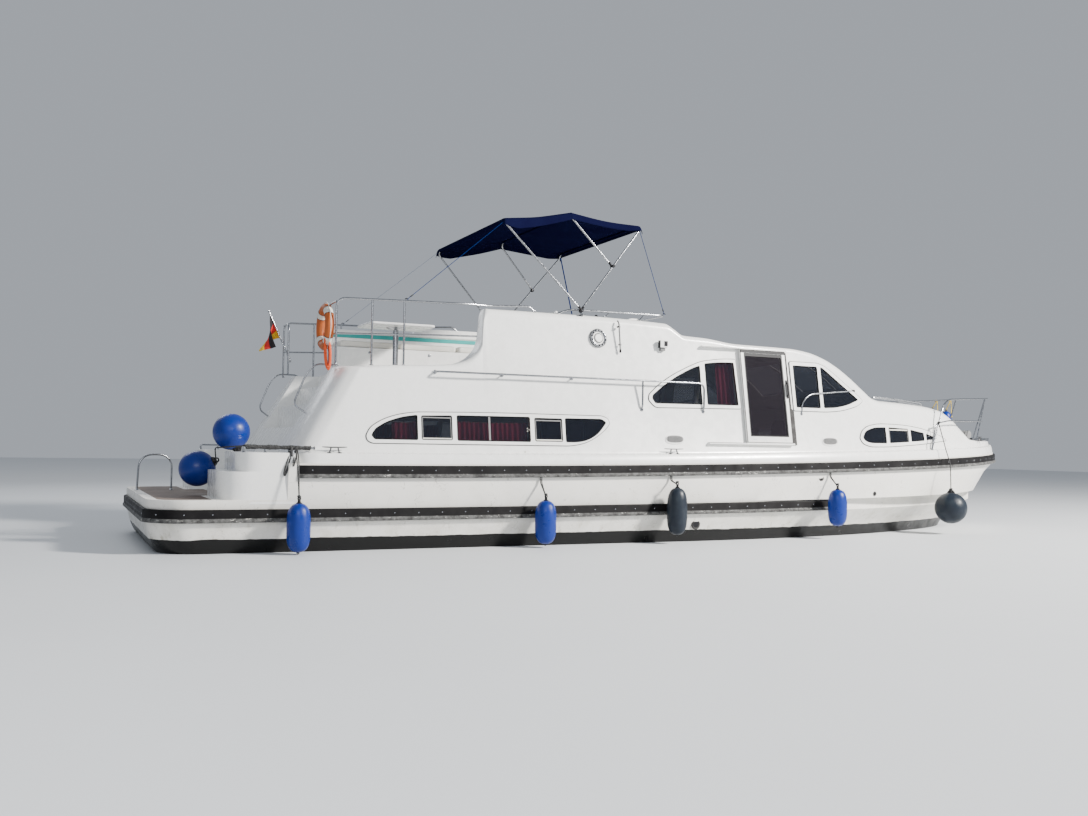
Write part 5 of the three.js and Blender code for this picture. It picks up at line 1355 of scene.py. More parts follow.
flag_piece = piece("flag_cloth", cloth(flag), flag_finish, sharp=80, stands_for="flag")
mark = flag_piece.data.attributes.new("across", "FLOAT", "POINT")
mark.data.foreach_set("value", np.tile(u.ravel(), 2))
declare(flag_piece, flag)
a = circle(72)
tie = np.column_stack([15 * np.cos(a), 15 * np.sin(a), 0 * a])
tie = tie @ np.array([[0.9, 0, 0.42], [0, 1, 0], [-0.42, 0, 0.9]])
ties = weld(*[hoop(tie + staff_foot + reach * s, 3, 6) for s in (0.5, 0.95)])
piece("flag_ties", ties, white_band, slot="flag")

# %% [markdown]
# The awning has three bows. Its cloth is one continuous grid: rows run from the aft bow over the middle
# one to the fore bow, and each row crosses from one flap's hem over the top to the other flap's hem.

# %% Bimini bows
FX, FZ = -1720, 3110
FORE = dict(x=-720, z=4395, foot=1478, top=1300)
AFT = dict(x=-2780, z=4285, foot=1522, top=1345)
MID = dict(x=-1760, z=4485, foot=1340, top=1255)
joint = 0.55
PX, PZ = FX + (FORE["x"] - FX) * joint, FZ + (FORE["z"] - 60 - FZ) * joint


def eye_end(px, pz, y, toward):
    """A flat plastic eye on the pivot, with a sleeve over the tube's end."""
    d = np.array([toward[0] - px, 0, toward[1] - pz], float)
    d /= np.linalg.norm(d)
    return weld(turned([(0, -13), (22, -13), (24, -9), (24, 9), (22, 13), (0, 13)], (px, y, pz), 24, "y"),
                wire(np.array([px, y, pz]) + d * [[12], [78]], 17, 18))


for name, px, pz, b, body in (("fore", FX, FZ, FORE, "fore_bow"), ("mid", PX, PZ, MID, "middle_bow"),
                              ("aft", FX, FZ, AFT, "aft_bow")):
    node = f"bimini_{name}_bow"
    x, z, top, foot = b["x"], b["z"], b["top"], b["foot"]
    bow = swept(across([[px, -foot, pz], [x, -top, z - 60], [x, -top + 60, z]]), TUBE_R, 60)
    piece(node + "_tube", bow, steel, body, stands_for=node)
    piece(node + "_sleeve", wire([[x, -top + 75, z], [x, top - 75, z]], 16, 16), canvas, body)
    piece(node + "_ends", weld(*[eye_end(px, pz, s * foot, (x, z)) for s in (-1, 1)]), black, body, bevel=1.5)
bosses = [turned([(0, -18), (19, -18), (21, -12), (21, 12), (19, 18), (0, 18)], (PX, y, PZ), 20, "y")
    for y in (-1386, 1386)]
piece("bimini_joints", weld(*bosses), black, "fore_bow")

# %% Awning cloth
hem = [(34, -46), (30, -6), (16, 14), (-4, 19)]
rows = [(AFT["x"] - out, AFT["z"] + up, AFT["top"]) for out, up in hem]
rows += [(MID["x"] + out, MID["z"] + up, MID["top"]) for out, up in ((-14, 15), (0, 18), (14, 15))]
rows += [(FORE["x"] + out, FORE["z"] + up, FORE["top"]) for out, up in hem[::-1]]
rows = np.array(rows, float)
step = far_along(rows[:, :2])
s = np.unique(np.r_[step, np.linspace(0, step[-1], 130)])
line = placed(s, step, rows)
bays = [np.clip((line[:, 0] - lo["x"]) / (hi["x"] - lo["x"]), 0, 1) for lo, hi in ((AFT, MID), (MID, FORE))]
sag = sum(np.sin(np.pi * f) for f in bays)
end_room = np.minimum(s, s[-1] - s)
drop = np.interp(line[:, 0], [AFT["x"], MID["x"], FORE["x"]], [110, 45, 40])
drop = drop * np.clip((end_room - 20) / 260, 0, 1) ** 0.7
flat_t = np.linspace(-1, 1, 61)[None]
bend_t, hem_t = np.linspace(0, 1, 7)[None, 1:], np.linspace(0, 1, 9)[None, 1:]
half_w = (line[:, 2] + 24 - 30 * sag)[:, None]
y_mid = flat_t * (half_w - 70)
z_mid = line[:, 1:2] - (22 * sag[:, None]) * (1 - 0.35 * flat_t**2)
y_bend = half_w - 70 + 70 * np.sin(bend_t * np.pi / 2)
z_bend = z_mid[:, -1:] - 62 * (1 - np.cos(bend_t * np.pi / 2))
y_hem = y_bend[:, -1:] + 10 * np.sin(hem_t * 2.4) + 6 * np.sin(s[:, None] / 95) * hem_t * (drop[:, None] > 60)
z_hem = z_bend[:, -1:] - drop[:, None] * hem_t
y_all = np.hstack([-y_hem[:, ::-1], -y_bend[:, ::-1], y_mid, y_bend, y_hem])
z_all = np.hstack([z_hem[:, ::-1], z_bend[:, ::-1], z_mid, z_bend, z_hem])
wrinkle = 4 * np.sin(y_all / 85 + line[:, :1] / 190) * np.clip(np.abs(y_all) / 1300, 0, 1) ** 3 * sag[:, None]
awning = np.stack([np.broadcast_to(line[:, :1], y_all.shape), y_all, z_all + wrinkle], -1)
awning_piece = piece("awning", cloth(awning, 2), canvas, "middle_bow", sharp=70, stands_for="bimini_canopy")
declare(awning_piece, awning)
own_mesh(awning_piece)


# %% Straps
def strap(points, width=25, thick=2.0):
    """Flat webbing between points: a thin rectangle carried along, its width kept level across the boat."""
    path = np.asarray(points, float)
    t = unit(np.gradient(path, axis=0))
    across = unit(np.cross(t, [0, 0, 1]))
    up = np.cross(across, t)
    section = [(-1, -1), (1, -1), (1, 1), (-1, 1)]
    return capped(np.stack([path + across * (a * width / 2) + up * (b * thick / 2) for a, b in section], 1))


clips = []
for side, s in (("stbd", -1), ("port", 1)):
    ends = (("aft", AFT, -10, (-4205, s * 1590, 3072)), ("fore", FORE, 10, (-352, s * 1400, 3160)))
    for which, bow, out, low in ends:
        top = np.array([bow["x"] + out, s * (bow["top"] - 20), bow["z"] - 24], float)
        low = np.array(low, float)
        fall = low - top
        shape = strap(top + fall * np.linspace(0, 1, 9)[:, None])
        one = piece(f"awning_strap_{which}_{side}", shape, webbing)
        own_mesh(one)
        clips.append(strap([top + fall * f for f in (0.94, 0.965)], 34, 9))
        clips.append(swept([low + [-22, 0, 6], low + [0, 0, 20], low + [22, 0, 6]], 6, 8, 8))
piece("awning_strap_clips", weld(*clips), black)
print("awning done")

# %% [markdown]
# ## Padded pieces
# A pad starts as a slightly small closed form. It is remeshed to even squares and blown up as cloth by
# inner pressure, with no gravity, for twenty frames. No point may move more than a cap, and the underside
# stays flat where it rests. Its piping is then laid along the swollen edge.

# %% Cushions
SQUARE, FRAMES, PRESSURE = 9.0, 20, 4.0
UPRIGHT_STBD = [[1, 0, 0], [0, 0, -1], [0, 1, 0]]    # a pad's top faces -Y
UPRIGHT_X = [[0, 0, 1], [1, 0, 0], [0, 1, 0]]        # a pad's top faces +X


def blown_up(shape, cap):
    """The shape's even skin after cloth under pressure, each point's move cut to cap millimetres."""
    thing = as_object("pad", (np.asarray(shape[0]) * MM, shape[1]))
    step = thing.modifiers.new("even", "REMESH")
    step.mode, step.voxel_size = "VOXEL", SQUARE * MM
    points, faces = evaluated(thing)
    bpy.data.meshes.remove(thing.data)
    thing = as_object("pad", (points, faces))
    cloth = thing.modifiers.new("cloth", "CLOTH")
    cloth.settings.use_pressure, cloth.settings.uniform_pressure_force = True, PRESSURE
    cloth.settings.effector_weights.gravity = 0.0
    cloth.settings.quality = 5
    cloth.point_cache.frame_start, cloth.point_cache.frame_end = 1, FRAMES
    for number in range(1, FRAMES + 1):
        bpy.context.scene.frame_set(number)
    move = evaluated(thing)[0] - points
    bpy.context.scene.frame_set(1)
    bpy.data.meshes.remove(thing.data)
    long = np.linalg.norm(move, axis=1)[:, None]
    return (points + move * np.minimum(1, cap * MM / np.maximum(long, 1e-9))) / MM, faces


def pad_form(width, depth, height, corner=45, crown=0.0):
    """A cushion's form about (0, 0), from z = 0: round corners, edges drawn in, and a crowned top."""
    ring = oblong(-width / 2, width / 2, -depth / 2, depth / 2, corner)
    levels = [(0, 0.985), (0.12 * height, 0.995), (0.5 * height, 1.0), (0.85 * height, 0.99), (height, 0.955)]
    levels += [(height + crown * (1 - s), s) for s in (0.8, 0.55, 0.25)]
    return capped(np.array([np.column_stack([ring * s, np.full(len(ring), z)]) for z, s in levels]))


def piping(points, ring, radius=4.0):
    """A cord sewn round a pad: each point of a wanted line moves to the skin's nearest point."""
    nearest = np.array([points[np.argmin(((points - p) ** 2).sum(1))] for p in ring])
    for _ in range(3):
        nearest = (np.roll(nearest, 1, 0) + 2 * nearest + np.roll(nearest, -1, 0)) / 4
    return hoop(nearest, radius)


def pad(width, depth, height, cap=10, corner=45):
    """A blown-up cushion, flat below, with piping round its top and bottom edges."""
    form = pad_form(width - cap, depth - cap, height - cap * 0.8, corner, height * 0.06)
    points, faces = blown_up(form, cap)
    points = points - [0, 0, points[:, 2].min()]
    points[:, 2] = np.where(points[:, 2] < cap * 0.8, 0, points[:, 2])
    half_w, half_d, top = np.abs(points[:, 0]).max(), np.abs(points[:, 1]).max(), points[:, 2].max()
    ring = oblong(-half_w, half_w, -half_d, half_d, corner, 10)
    seams = [piping(points, np.column_stack([ring * 0.99, np.full(len(ring), z)]))
        for z in (top * 0.84, top * 0.1)]
    return (points, faces), weld(*seams)


def set_pad(name, made, place, finish, stand=None, lie=np.eye(3), slot=None):
    """A pad and its piping, turned by the matrix lie and moved to a place."""
    skin, seams = [(p @ np.array(lie, float).T + np.asarray(place, float), f) for p, f in made]
    thing = piece(name, skin, finish, sharp=80, stands_for=stand, slot=slot)
    piece(name + "_piping", seams, finish, sharp=80, slot=slot)


BENCH_X = (-4012, -3100, -2188)
bench_pad = pad(905, 452, 84, 10)
for number, x in enumerate(BENCH_X):
    node = None if number else "fly_cushion"
    set_pad(f"bench_cushion_{number + 1}", bench_pad, (x, 1004, 2660.5), vinyl, node)
sofa_seat, sofa_back = pad(760, 580, 118, 14), pad(750, 400, 110, 14)
for number, x in enumerate((-510, 265)):
    set_pad(f"sofa_cushion_{number + 1}", sofa_seat, (x, 1145, 1184), upholstery)
    set_pad(f"sofa_back_cushion_{number + 1}", sofa_back, (x, 1556, 1515), upholstery, lie=UPRIGHT_STBD)
helm_pad, helm_back_pad = pad(420, 500, 90, 10), pad(490, 520, 80, 10)
set_pad("helm_seat_cushion", helm_pad, (1395, -1030, 1292), black, slot="console")
set_pad("helm_seat_back_cushion", helm_back_pad, (1145, -1030, 1620), black, lie=UPRIGHT_X, slot="console")
fly_pad, fly_back_pad = pad(400, 480, 74, 10), pad(480, 400, 56, 8)
set_pad("fly_seat_cushion", fly_pad, (-1690, -930, 2630.5), vinyl)
set_pad("fly_seat_back_cushion", fly_back_pad, (-1915, -930, 2880), vinyl, lie=UPRIGHT_X)
print("padded pieces done")

# %% [markdown]
# ## Flybridge and saloon furniture
# Moulded furniture has generous radii, a toe recess at the sole and locker lids with thin gaps.

# %% Flybridge bench, table, console and seat
def moulding(x0, x1, y0, y1, radius, z0, z1):
    """An upright block whose plan is a rounded oblong."""
    return plan(oblong(x0, x1, y0, y1, radius), z0, z1)


bench = combined(moulding(-4500, -1700, 760, 1372, 60, 2261, 2660),
    block((-4440, 700, 2200), (-1760, 800, 2340)))
lids = weld(*[block((x - 430, 756.5, 2390), (x + 430, 760.4, 2620)) for x in BENCH_X])
latches = [turned([(0, 0), (22, 0), (22, -4), (16, -7), (0, -7)], (x, 756.2, 2590), 24, "y") for x in BENCH_X]
post = turned([(0, 2261), (150, 2261), (150, 2267), (60, 2280), (42, 2300), (40, 2320), (40, 2880),
    (46, 2884), (110, 2900), (140, 2919.5), (0, 2919.5)], (-3775, 260, 0), 40)
console = corners([[-1150, 2261], [-700, 2261], [-700, 3080], [-900, 3080], [-1100, 2900]],
    lambda turn: 60 if turn > 30 else 20, 8, closed=True)
seat = combined(moulding(-1950, -1480, -1180, -680, 50, 2261, 2630),
    block((-1560, -1140, 2200), (-1400, -720, 2340)))
FLYBRIDGE = [
    ("fly_bench_base", bench, cabin_white, 14, "fly_bench"),
    ("fly_bench_back", moulding(-4500, -1700, 1250, 1371.5, 50, 2660.3, 2905), cabin_white, 12, None),
    ("fly_bench_cap", moulding(-4512, -1688, 1236, 1372, 55, 2905.3, 2960), cabin_white, 20, None),
    ("fly_bench_stripe", moulding(-4503, -1697, 1246.5, 1250.6, 1.9, 2838, 2898), teal_paint, 0, None),
    ("fly_bench_lids", lids, cabin_white, 1.5, None), ("fly_bench_latches", weld(*latches), steel, 0, None),
    ("fly_table_leaf", moulding(-4250, -3300, -120, 640, 90, 2920, 2950), cabin_white, 9, "fly_table"),
    ("fly_table_post", post, steel, 0, None),
    ("fly_console_shell", slab(console, -1370, -480), cabin_white, 16, "fly_console"),
    ("fly_helm_seat_base", seat, cabin_white, 14, "fly_helm_seat"),
    ("fly_helm_seat_back", moulding(-1960, -1918, -1185, -675, 18, 2630.3, 3130), cabin_white, 14, None),
]
for name, shape, finish, soft, node in FLYBRIDGE:
    piece(name, shape, finish, bevel=soft, stands_for=node)


def on_dash(low, high, p, off):
    """(across, up the slope) on a dash that leans between two points (x, z), off from its face."""
    low, high = np.asarray(low, float), np.asarray(high, float)
    along = (high - low) / np.linalg.norm(high - low)
    out = np.array([-along[1], along[0]])
    p = np.asarray(p, float)
    xz = low + p[:, 1:2] * along + off * out
    return np.column_stack([xz[:, 0], p[:, 0], xz[:, 1]])


def dash(prefix, low, high, y0, y1, v0, v1, v, dials):
    """A dark dash with round dials at (y, radius), v up its slope: each has a bezel, a face and a needle."""
    plate = lambda outline, *offs: capped(np.stack([on_dash(low, high, outline, off) for off in offs]))
    piece(prefix + "_dash", plate(oblong(y0, y1, v0, v1, 25), 0.3, 4), black, bevel=1.5, slot="console")
    a = circle(32)
    round_at = lambda y, r: np.column_stack([y + r * np.cos(a), v + r * np.sin(a)])
    needle = lambda y, r: [[y - 2, v - r * 0.2], [y + 2, v - r * 0.2], [y + r * 0.55, v + r * 0.5]]
    bezels = [hoop(on_dash(low, high, round_at(y, r), 5), 4, 10) for y, r in dials]
    piece(prefix + "_bezels", weld(*bezels), steel)
    piece(prefix + "_dials", weld(*[plate(round_at(y, r - 3), 3, 4.5) for y, r in dials]), glass,
        slot="console")
    piece(prefix + "_needles", weld(*[plate(needle(y, r), 5, 6) for y, r in dials]), white_band,
        slot="console")


FLY_DASH = ((-1100, 2900), (-900, 3080))
dash("fly", *FLY_DASH, -1300, -560, 40, 235, 140, [(-1120, 48), (-990, 40), (-880, 40)])
lever_at = on_dash(*FLY_DASH, [[-650, 130]], 4)[0]
lever = weld(block(lever_at + [-38, -32, -6], lever_at + [34, 32, 44]),
             wire([lever_at + [0, 0, 40], lever_at + [-36, 0, 170]], 8, 12),
             turned([(0, -4), (18, 0), (24, 14), (22, 30), (12, 40), (0, 42)], lever_at + [-38, 0, 160], 24))
piece("fly_throttle", lever, black, bevel=3, slot="console")

# %% Lower helm and saloon
helm_side = corners([[2250, 851], [2950, 851], [2950, 1750], [2420, 1750], [2330, 1400]], 45, 8, closed=True)
pedestal = turned([(0, 851), (210, 851), (205, 862), (70, 876), (55, 900), (55, 1120), (0, 1120)],
    (1380, -1030, 0), 40)
dash("helm", (2330, 1400), (2420, 1750), -1440, -600, 190, 340, 265,
    [(-1240, 45), (-1130, 45), (-930, 36), (-840, 36), (-750, 36)])
sofa = combined(moulding(-900, 650, 850, 1440, 40, 851, 1183.7), block((-860, 800, 800), (610, 890, 930)))
INSIDE = [
    ("helm_console_body", slab(helm_side, -1500, -250), black, 14, "helm_console", "console"),
    ("helm_seat_base", weld(moulding(1180, 1590, -1270, -790, 60, 1120, 1291), pedestal), black, 12,
     "helm_seat", "console"),
    ("helm_seat_back", moulding(1120, 1144.7, -1295, -765, 12, 1292, 1900), black, 10, None, "console"),
    ("saloon_sofa_base", sofa, ply, 6, "saloon_sofa", None),
    ("saloon_sofa_back", moulding(-900, 650, 1556.3, 1570, 6, 1000, 1700), ply, 4, None, None),
]
for name, shape, finish, soft, node, slot in INSIDE:
    piece(name, shape, finish, bevel=soft, stands_for=node, slot=slot)

# %% [markdown]
# ## Steering wheels
# A wheel is drawn flat about its hub: a ring with finger swells under it, three flat spokes, a dished hub
# and its shaft. It is then tilted about Y as the column is, and moved to the column's head.

# %% Wheels
TILT = 1.2


def wheel(name, centre, radius, reach, body):
    a = circle(96)
    swell = 14 + 1.3 * np.maximum(0, np.cos(a * 24))
    rim = hoop(np.column_stack([radius * np.cos(a), radius * np.sin(a), 0 * a]), swell, 16)
    r = np.linspace(20, radius - 8, 8)
    dish = -12 * ((r - 20) / (radius - 28)) ** 2
    rays = [np.column_stack([r * math.cos(b), r * math.sin(b), dish]) for b in (0.5, 2.6, 4.7)]
    spokes = [wire(ray, np.linspace(13, 9, 8), 12, flat=0.55) for ray in rays]
    hub = turned([(0, -20), (32, -20), (34, -14), (34, 6), (28, 14), (12, 17), (0, 18)], sides=36)
    shaft = wire([[0, 0, -18], [0, 0, reach]], 10, 16)
    c, s = math.cos(TILT), math.sin(TILT)
    lean = np.array([[c, 0, s], [0, 1, 0], [-s, 0, c]])
    stand_at = lambda shape: (shape[0] @ lean.T + np.asarray(centre, float), shape[1])
    piece(name + "_rim", stand_at(rim), black, body, sharp=60, stands_for=name)
    piece(name + "_spokes", stand_at(weld(*spokes, hub, shaft)), steel, body, bevel=1.0)


wheel("fly_wheel", (-1240, -930, 2800), 190, 141, "upper_wheel")
wheel("helm_wheel", (2200, -1030, 1560), 200, 197, "lower_wheel")
print("furniture done")

# %% [markdown]
# ## Fittings on the hull and cabin
# Small things that the photograph shows: oval vents, mooring cleats, a round lamp, a side light, hull
# outlets, grab rails, a pole and the anchor gear.

# %% Vents, cleats and lamps
LAMP = (-1510, 2745)


def ellipse(cx, cz, rx, rz, n=40, power=2.6):
    c, s = np.cos(circle(n)), np.sin(circle(n))
    bulge = lambda v: np.sign(v) * np.abs(v) ** (2 / power)
    return np.column_stack([cx + rx * bulge(c), cz + rz * bulge(s)])


def lamp_ring(r, n):
    return ellipse(*LAMP, r, r, n, 2)


on_wall = lambda outline, low, high: panel(outline, [], low, high, on_side)
fit_white, fit_grey, fit_dark_and_shade = [], [], []
for x, z in ((-420, 1393), (2280, 1407)):
    fit_white.append(on_wall(ellipse(x, z, 150, 64), -3, 7))
    fit_grey.append(on_wall(ellipse(x, z + 7, 134, 48), 7.2, 12))
    fit_grey += [on_wall(square(x - 108, x + 108, z + up, z + up + 8), 12.2, 20)
        for up in (-25, -10, 5, 20, 35)]
fit_white += [on_wall(lamp_ring(92, 40), -3, 12), on_wall(lamp_ring(54, 40), 12.2, 24)]
fit_steel = hoop(on_side(lamp_ring(104, 48), 12), 19, 12)
fit_dark_and_shade.append(hoop(on_side(lamp_ring(123, 48), 3), 6))
fit_grey.append(hoop(on_side(lamp_ring(62, 40), 14), 7, 10))
for b in np.arange(14) * np.pi / 7 + 0.2:
    at = on_side(np.array([[LAMP[0] + 104 * math.cos(b), LAMP[1] + 104 * math.sin(b)]]), 26)[0]
    fit_dark_and_shade.append(turned([(0, 12), (11, 12), (11, -5), (8, -8), (0, -8)], at, 12, "y"))
light = on_side(np.array([[-516, 2704]]), 0)[0]
fit_white.append(block(light + [-56, -70, -40], light + [50, 2, 56]))
fit_grey.append(block(light + [-38, -50, -86], light + [30, 2, -40]))
# The lens is black; two thin black plates, on the housing's aft face and under its outboard lower edge, are
# painted shade.
fit_dark_and_shade += [block(light + low, light + high) for low, high in (
    ([2, -74.5, -20], [56, -14, 50]), ([-60, -68, -44], [54, -56, -40]), ([-61, -66, -44], [-56, -8, 60]))]
pair("side_fittings_*", weld(*fit_white), cabin_white, bevel=5)
pair("side_fittings_grey_*", weld(*fit_grey), grey, bevel=1.2)
pair("side_fittings_steel_*", fit_steel, steel)
pair("side_fittings_dark_*", weld(*fit_dark_and_shade), black, bevel=1.5)


def cleat(x, y, z, heading=0.0, length=300):
    """A horn cleat: two splayed legs under a bar whose ends thin out."""
    s = np.linspace(-1, 1, 17)
    bar = wire(np.column_stack([s * length / 2, 0 * s, 62 + 4 * s * s]), 10 * (1 - 0.45 * s**4), 12, flat=0.8)
    legs = [swept([[e * 62, 0, 0], [e * 50, 0, 22], [e * 42, 0, 60]], 9, 20, 12) for e in (-1, 1)]
    feet = [turned([(0, -6), (26, -6), (26, 2), (18, 6), (0, 8)], (e * 62, 0, 0), 20) for e in (-1, 1)]
    c, s1 = math.cos(heading), math.sin(heading)
    spin = np.array([[c, -s1, 0], [s1, c, 0], [0, 0, 1]])
    points, faces = weld(bar, *legs, *feet)
    return points @ spin.T + [x, y, z], faces


cleats = [cleat(x, 92 - float(sheer(x)), float(deck_edge(x)) + 128.3) for x in (-480, -5150)]
cleats.append(cleat(6350, 160 - float(sheer(6350)), 1486, 0.5, 260))
pair("cleats_*", weld(*cleats), dull_metal)


# %% Hull outlets, pole and grab rails
def hull_side(x, z):
    """Half breadth of the hull between the rub rails."""
    lower, upper = half_at(HULL_LINES[6], x), half_at(HULL_LINES[7], x)
    z0, z1 = float(lower_foot(x)) + RUB_HEIGHT + 14, float(rail_foot(x)) - 150
    return lower + (upper - lower) * np.clip((z - z0) / (z1 - z0), 0, 1)


rims, bore_shades = [], []
for x, z, r in ((-130, 235, 62), (1980, 883, 46), (3050, 640, 26)):
    low_side = float(np.interp(z, [120, 351], [half_at(HULL_LINES[3], x), half_at(HULL_LINES[4], x)]))
    y = -hull_side(x, z) if z > 500 else -low_side
    rim = [(0, 3), (r, 3), (r + 8, 0), (r + 8, -4), (r, -9), (r * 0.8, -9), (r * 0.74, -6), (0, -5.5)]
    rims.append(turned(rim, (x, y, z), 32, "y"))
    # Each bore is a shallow black disc inside its rim: painted shade of the open outlet.
    bore_shades.append(turned([(0, -5.7), (r * 0.72, -5.7), (r * 0.7, -7.5), (0, -7.5)], (x, y, z), 28, "y"))
piece("hull_outlets", weld(*rims), seal)
piece("hull_outlet_bore_shades", weld(*bore_shades), black)

pole_y = float(-side_y(-1200, 2780)) - 17
pole = [[-1204, pole_y + 30, 3000], [-1202, pole_y - 8, 2960], [-1195, pole_y - 44, 2600]]
piece("pole", swept(pole, 11, 30, 14), grey)
pole_foot = turned([(0, -44), (10, -42), (15, -30), (15, 0), (12, 4), (0, 4)], (-1195, pole_y - 44, 2600), 20)
clamps = [block((-1222, pole_y - 20, 2905), (-1184, pole_y + 22, 2925)),
          block((-1218, pole_y - 38, 2660), (-1176, pole_y - 20, 2676))]
piece("pole_ends", weld(pole_foot, *clamps), black, bevel=2)

grabs, ends = [], []
for s in (-1, 1):
    grabs.append(swept([[1793, s * 1755, 1804], [1815, s * 1752, 1990], [1960, s * 1738, 2100],
                        [2842, s * 1651, 2184]], TUBE_R, 90))
    grabs.append(flange((1793, s * 1752, 1800), "y", 24, s))
    grabs.append(swept([[2360, s * 1700, 2140], [2360, s * 1640, 2125]], 9, 0))
    ends.append(turned([(0, -26), (17, -24), (19, 0), (17, 20), (0, 24)], (2850, s * 1650, 2185), 20, "x"))
piece("wheelhouse_grab_ends", weld(*ends), black)
for low_y, x0, x1 in ((-900, 3870, 4960), (-500, 4230, 5350)):
    xs = np.array([x0, x0 + 40, (x0 + x1) / 2, x1 - 40, x1], float)
    high, foot = (roof(np.column_stack([xs, np.full(5, low_y)]), off) for off in (62, 2))
    for flip in (np.array([1, 1, 1]), np.array([1, -1, 1])):
        grabs.append(swept(np.vstack([foot[:1], high[1:4], foot[4:]]) * flip, 11, 50))
        grabs.append(swept([foot[2] * flip, high[2] * flip], 9, 0))
        grabs += [flange(foot[k] * flip, r=22) for k in (0, 2, 4)]
piece("grab_rails", weld(*grabs), steel)

# %% [markdown]
# ## Foredeck gear
# The windlass has a motor pod, a chain wheel and a warping drum turned outboard. Ahead of it the bow
# roller waits empty, and abaft it lies a glazed hatch.

# %% Windlass, bow roller and hatch
windlass = turned([(0, 1486), (78, 1486), (78, 1500), (66, 1512), (50, 1520), (46, 1560), (52, 1590),
    (70, 1602), (72, 1614), (60, 1622), (0, 1624)], (6700, 0, 0), 48)
piece("windlass_drum", windlass, steel, stands_for="windlass")
gear = [turned([(0, 0), (74, 0), (78, -10), (60, -18), (44, -30), (40, -50), (46, -66), (74, -80), (78, -92),
                (70, -98), (0, -98)], (6760, -90, 1600), 40, "y"), block((6790, -60, 1492), (6910, 70, 1630)),
        turned([(0, 0), (50, 0), (52, 8), (44, 14), (0, 16)], (6850, 70, 1580), 32, "y")]
piece("windlass_head", weld(*gear), grey, bevel=8)
roller = [block((7020, y - 4, 1500), (7420, y + 4, 1548)) for y in (-34, 34)]
roller += [block((7020, -38, 1496), (7240, 38, 1500)), swept([[7396, -42, 1526], [7396, 42, 1526]], 7, 0),
           turned([(0, -30), (24, -30), (16, -6), (16, 6), (24, 30), (0, 30)], (7396, 0, 1526), 24, "y")]
piece("bow_roller", weld(*roller), steel, bevel=1.5)
hatch_at = roof([[4750, 0]])[0]
hatch = oblong(4500, 5010, -260, 260, 60)
piece("fore_hatch", panel(hatch, [moved_in(hatch, 45)], -4, 34, roof, 60), cabin_white, bevel=5)
piece("fore_hatch_glass", panel(moved_in(hatch, 45.5), [], 12, 30, roof, 60), glass, bevel=2)
handles = [block(hatch_at + [-247, y - 14, 36], hatch_at + [-203, y + 14, 52]) for y in (-150, 150)]
piece("fore_hatch_handles", weld(*handles), black, bevel=3)
print("fittings done")

# %% [markdown]
# ## Curtains and window bars
# Curtains hang gathered on a cord behind the panes: each is a grid whose depth is a wave along the
# window, deeper at the foot than at the head. Top-hung panes have a grey bar above and a white one below.

# %% Curtains
def curtain(x0, x1, z0, z1, off, fold=68.0):
    """Cloth from x0 to x1: depth = amplitude * sin(2 pi x / fold), growing downwards, on a slack cord."""
    h, t = np.meshgrid(np.linspace(0, 1, 22), np.linspace(0, 1, int(abs(x1 - x0) / 5)), indexing="ij")
    x = x0 + (x1 - x0) * t
    wave = np.sin(2 * np.pi * x / fold + 1.3 * np.sin(x / 170)) * (9 + 11 * h)
    z = z1 - 16 * np.sin(np.pi * t) + 5 * np.sin(2 * np.pi * x / fold) * (1 - h) - (z1 - z0) * h
    flat = np.column_stack([(x + 6 * h * np.sin(x / 40)).ravel(), z.ravel()])
    grid = on_side(flat, off).reshape(h.shape + (3,))
    grid[..., 1] += wave
    return grid


CURTAINS = [("aft", -4400, -4100, 1300, 1556), ("mid", -3600, -2600, 1300, 1578),
    ("saloon", 400, 690, 1860, 2530)]
for label, x0, x1, z0, z1 in CURTAINS:
    front = curtain(x0, x1, z0, z1, -84)
    x, y, z = front[0].T
    rod = wire(np.column_stack([x, np.full(len(x), y.mean()), z - 8])[::6], 3)
    pair(f"curtain_{label}_rod_*", rod, white_band, slot="steel")
    for drape, side in zip(pair(f"curtain_{label}_*", cloth(front), maroon, sharp=80), ("stbd", "port")):
        declare(drape, front)


# %% Hopper panes, the sliding bar and its latch
def bar(x0, x1, z0, z1, low=-3, high=11):
    return panel(square(x0, x1, z0, z1), [], low, high, on_side, 80)


grey_bars, white_bars = [bar(-3165, -3140, 1332, 1636, -8, 9)], []
for x0, x1, z0, z1 in ((-4044, -3666, 1340, 1624), (-2514, -2141, 1346, 1624), (3520, 3950, 1438, 1626)):
    edges = ((x0, x1, z1 - 26, z1 - 12), (x0, x0 + 9, z0, z1 - 12), (x1 - 9, x1, z0, z1 - 12))
    grey_bars += [bar(*edge, -3, 9) for edge in edges]
    white_bars.append(bar(x0, x1, z0 - 8, z0 + 14) if x0 < 0 else bar(x0, x1, z1 - 24, z1 - 6))
latch = [turned([(0, 0), (7, 0), (7, -6), (0, -8)], on_side(np.array([at]), 3)[0], 12, "y")
    for at in ((-2630, 1496), (-2630, 1462), (-2606, 1480))]
hook_at = (-2670, float(-side_y(-2670, 1197)) + 1, 1197)
latch.append(turned([(0, 0), (11, 0), (14, -3), (12, -8), (0, -10)], hook_at, 16, "y"))
pair("window_bars_grey_*", weld(*grey_bars), grey, bevel=1.0, slot="window")
pair("window_bars_white_*", weld(*white_bars, *latch), white_band, bevel=1.5, slot="window")
print("curtains done")

# %% [markdown]
# ## Mooring line and hanks
# The quarter rail is served with black line: a close helix round the tube. A bound hank of closed turns
# hangs beside it, and another of orange line hangs on the rail by the lifebuoy.

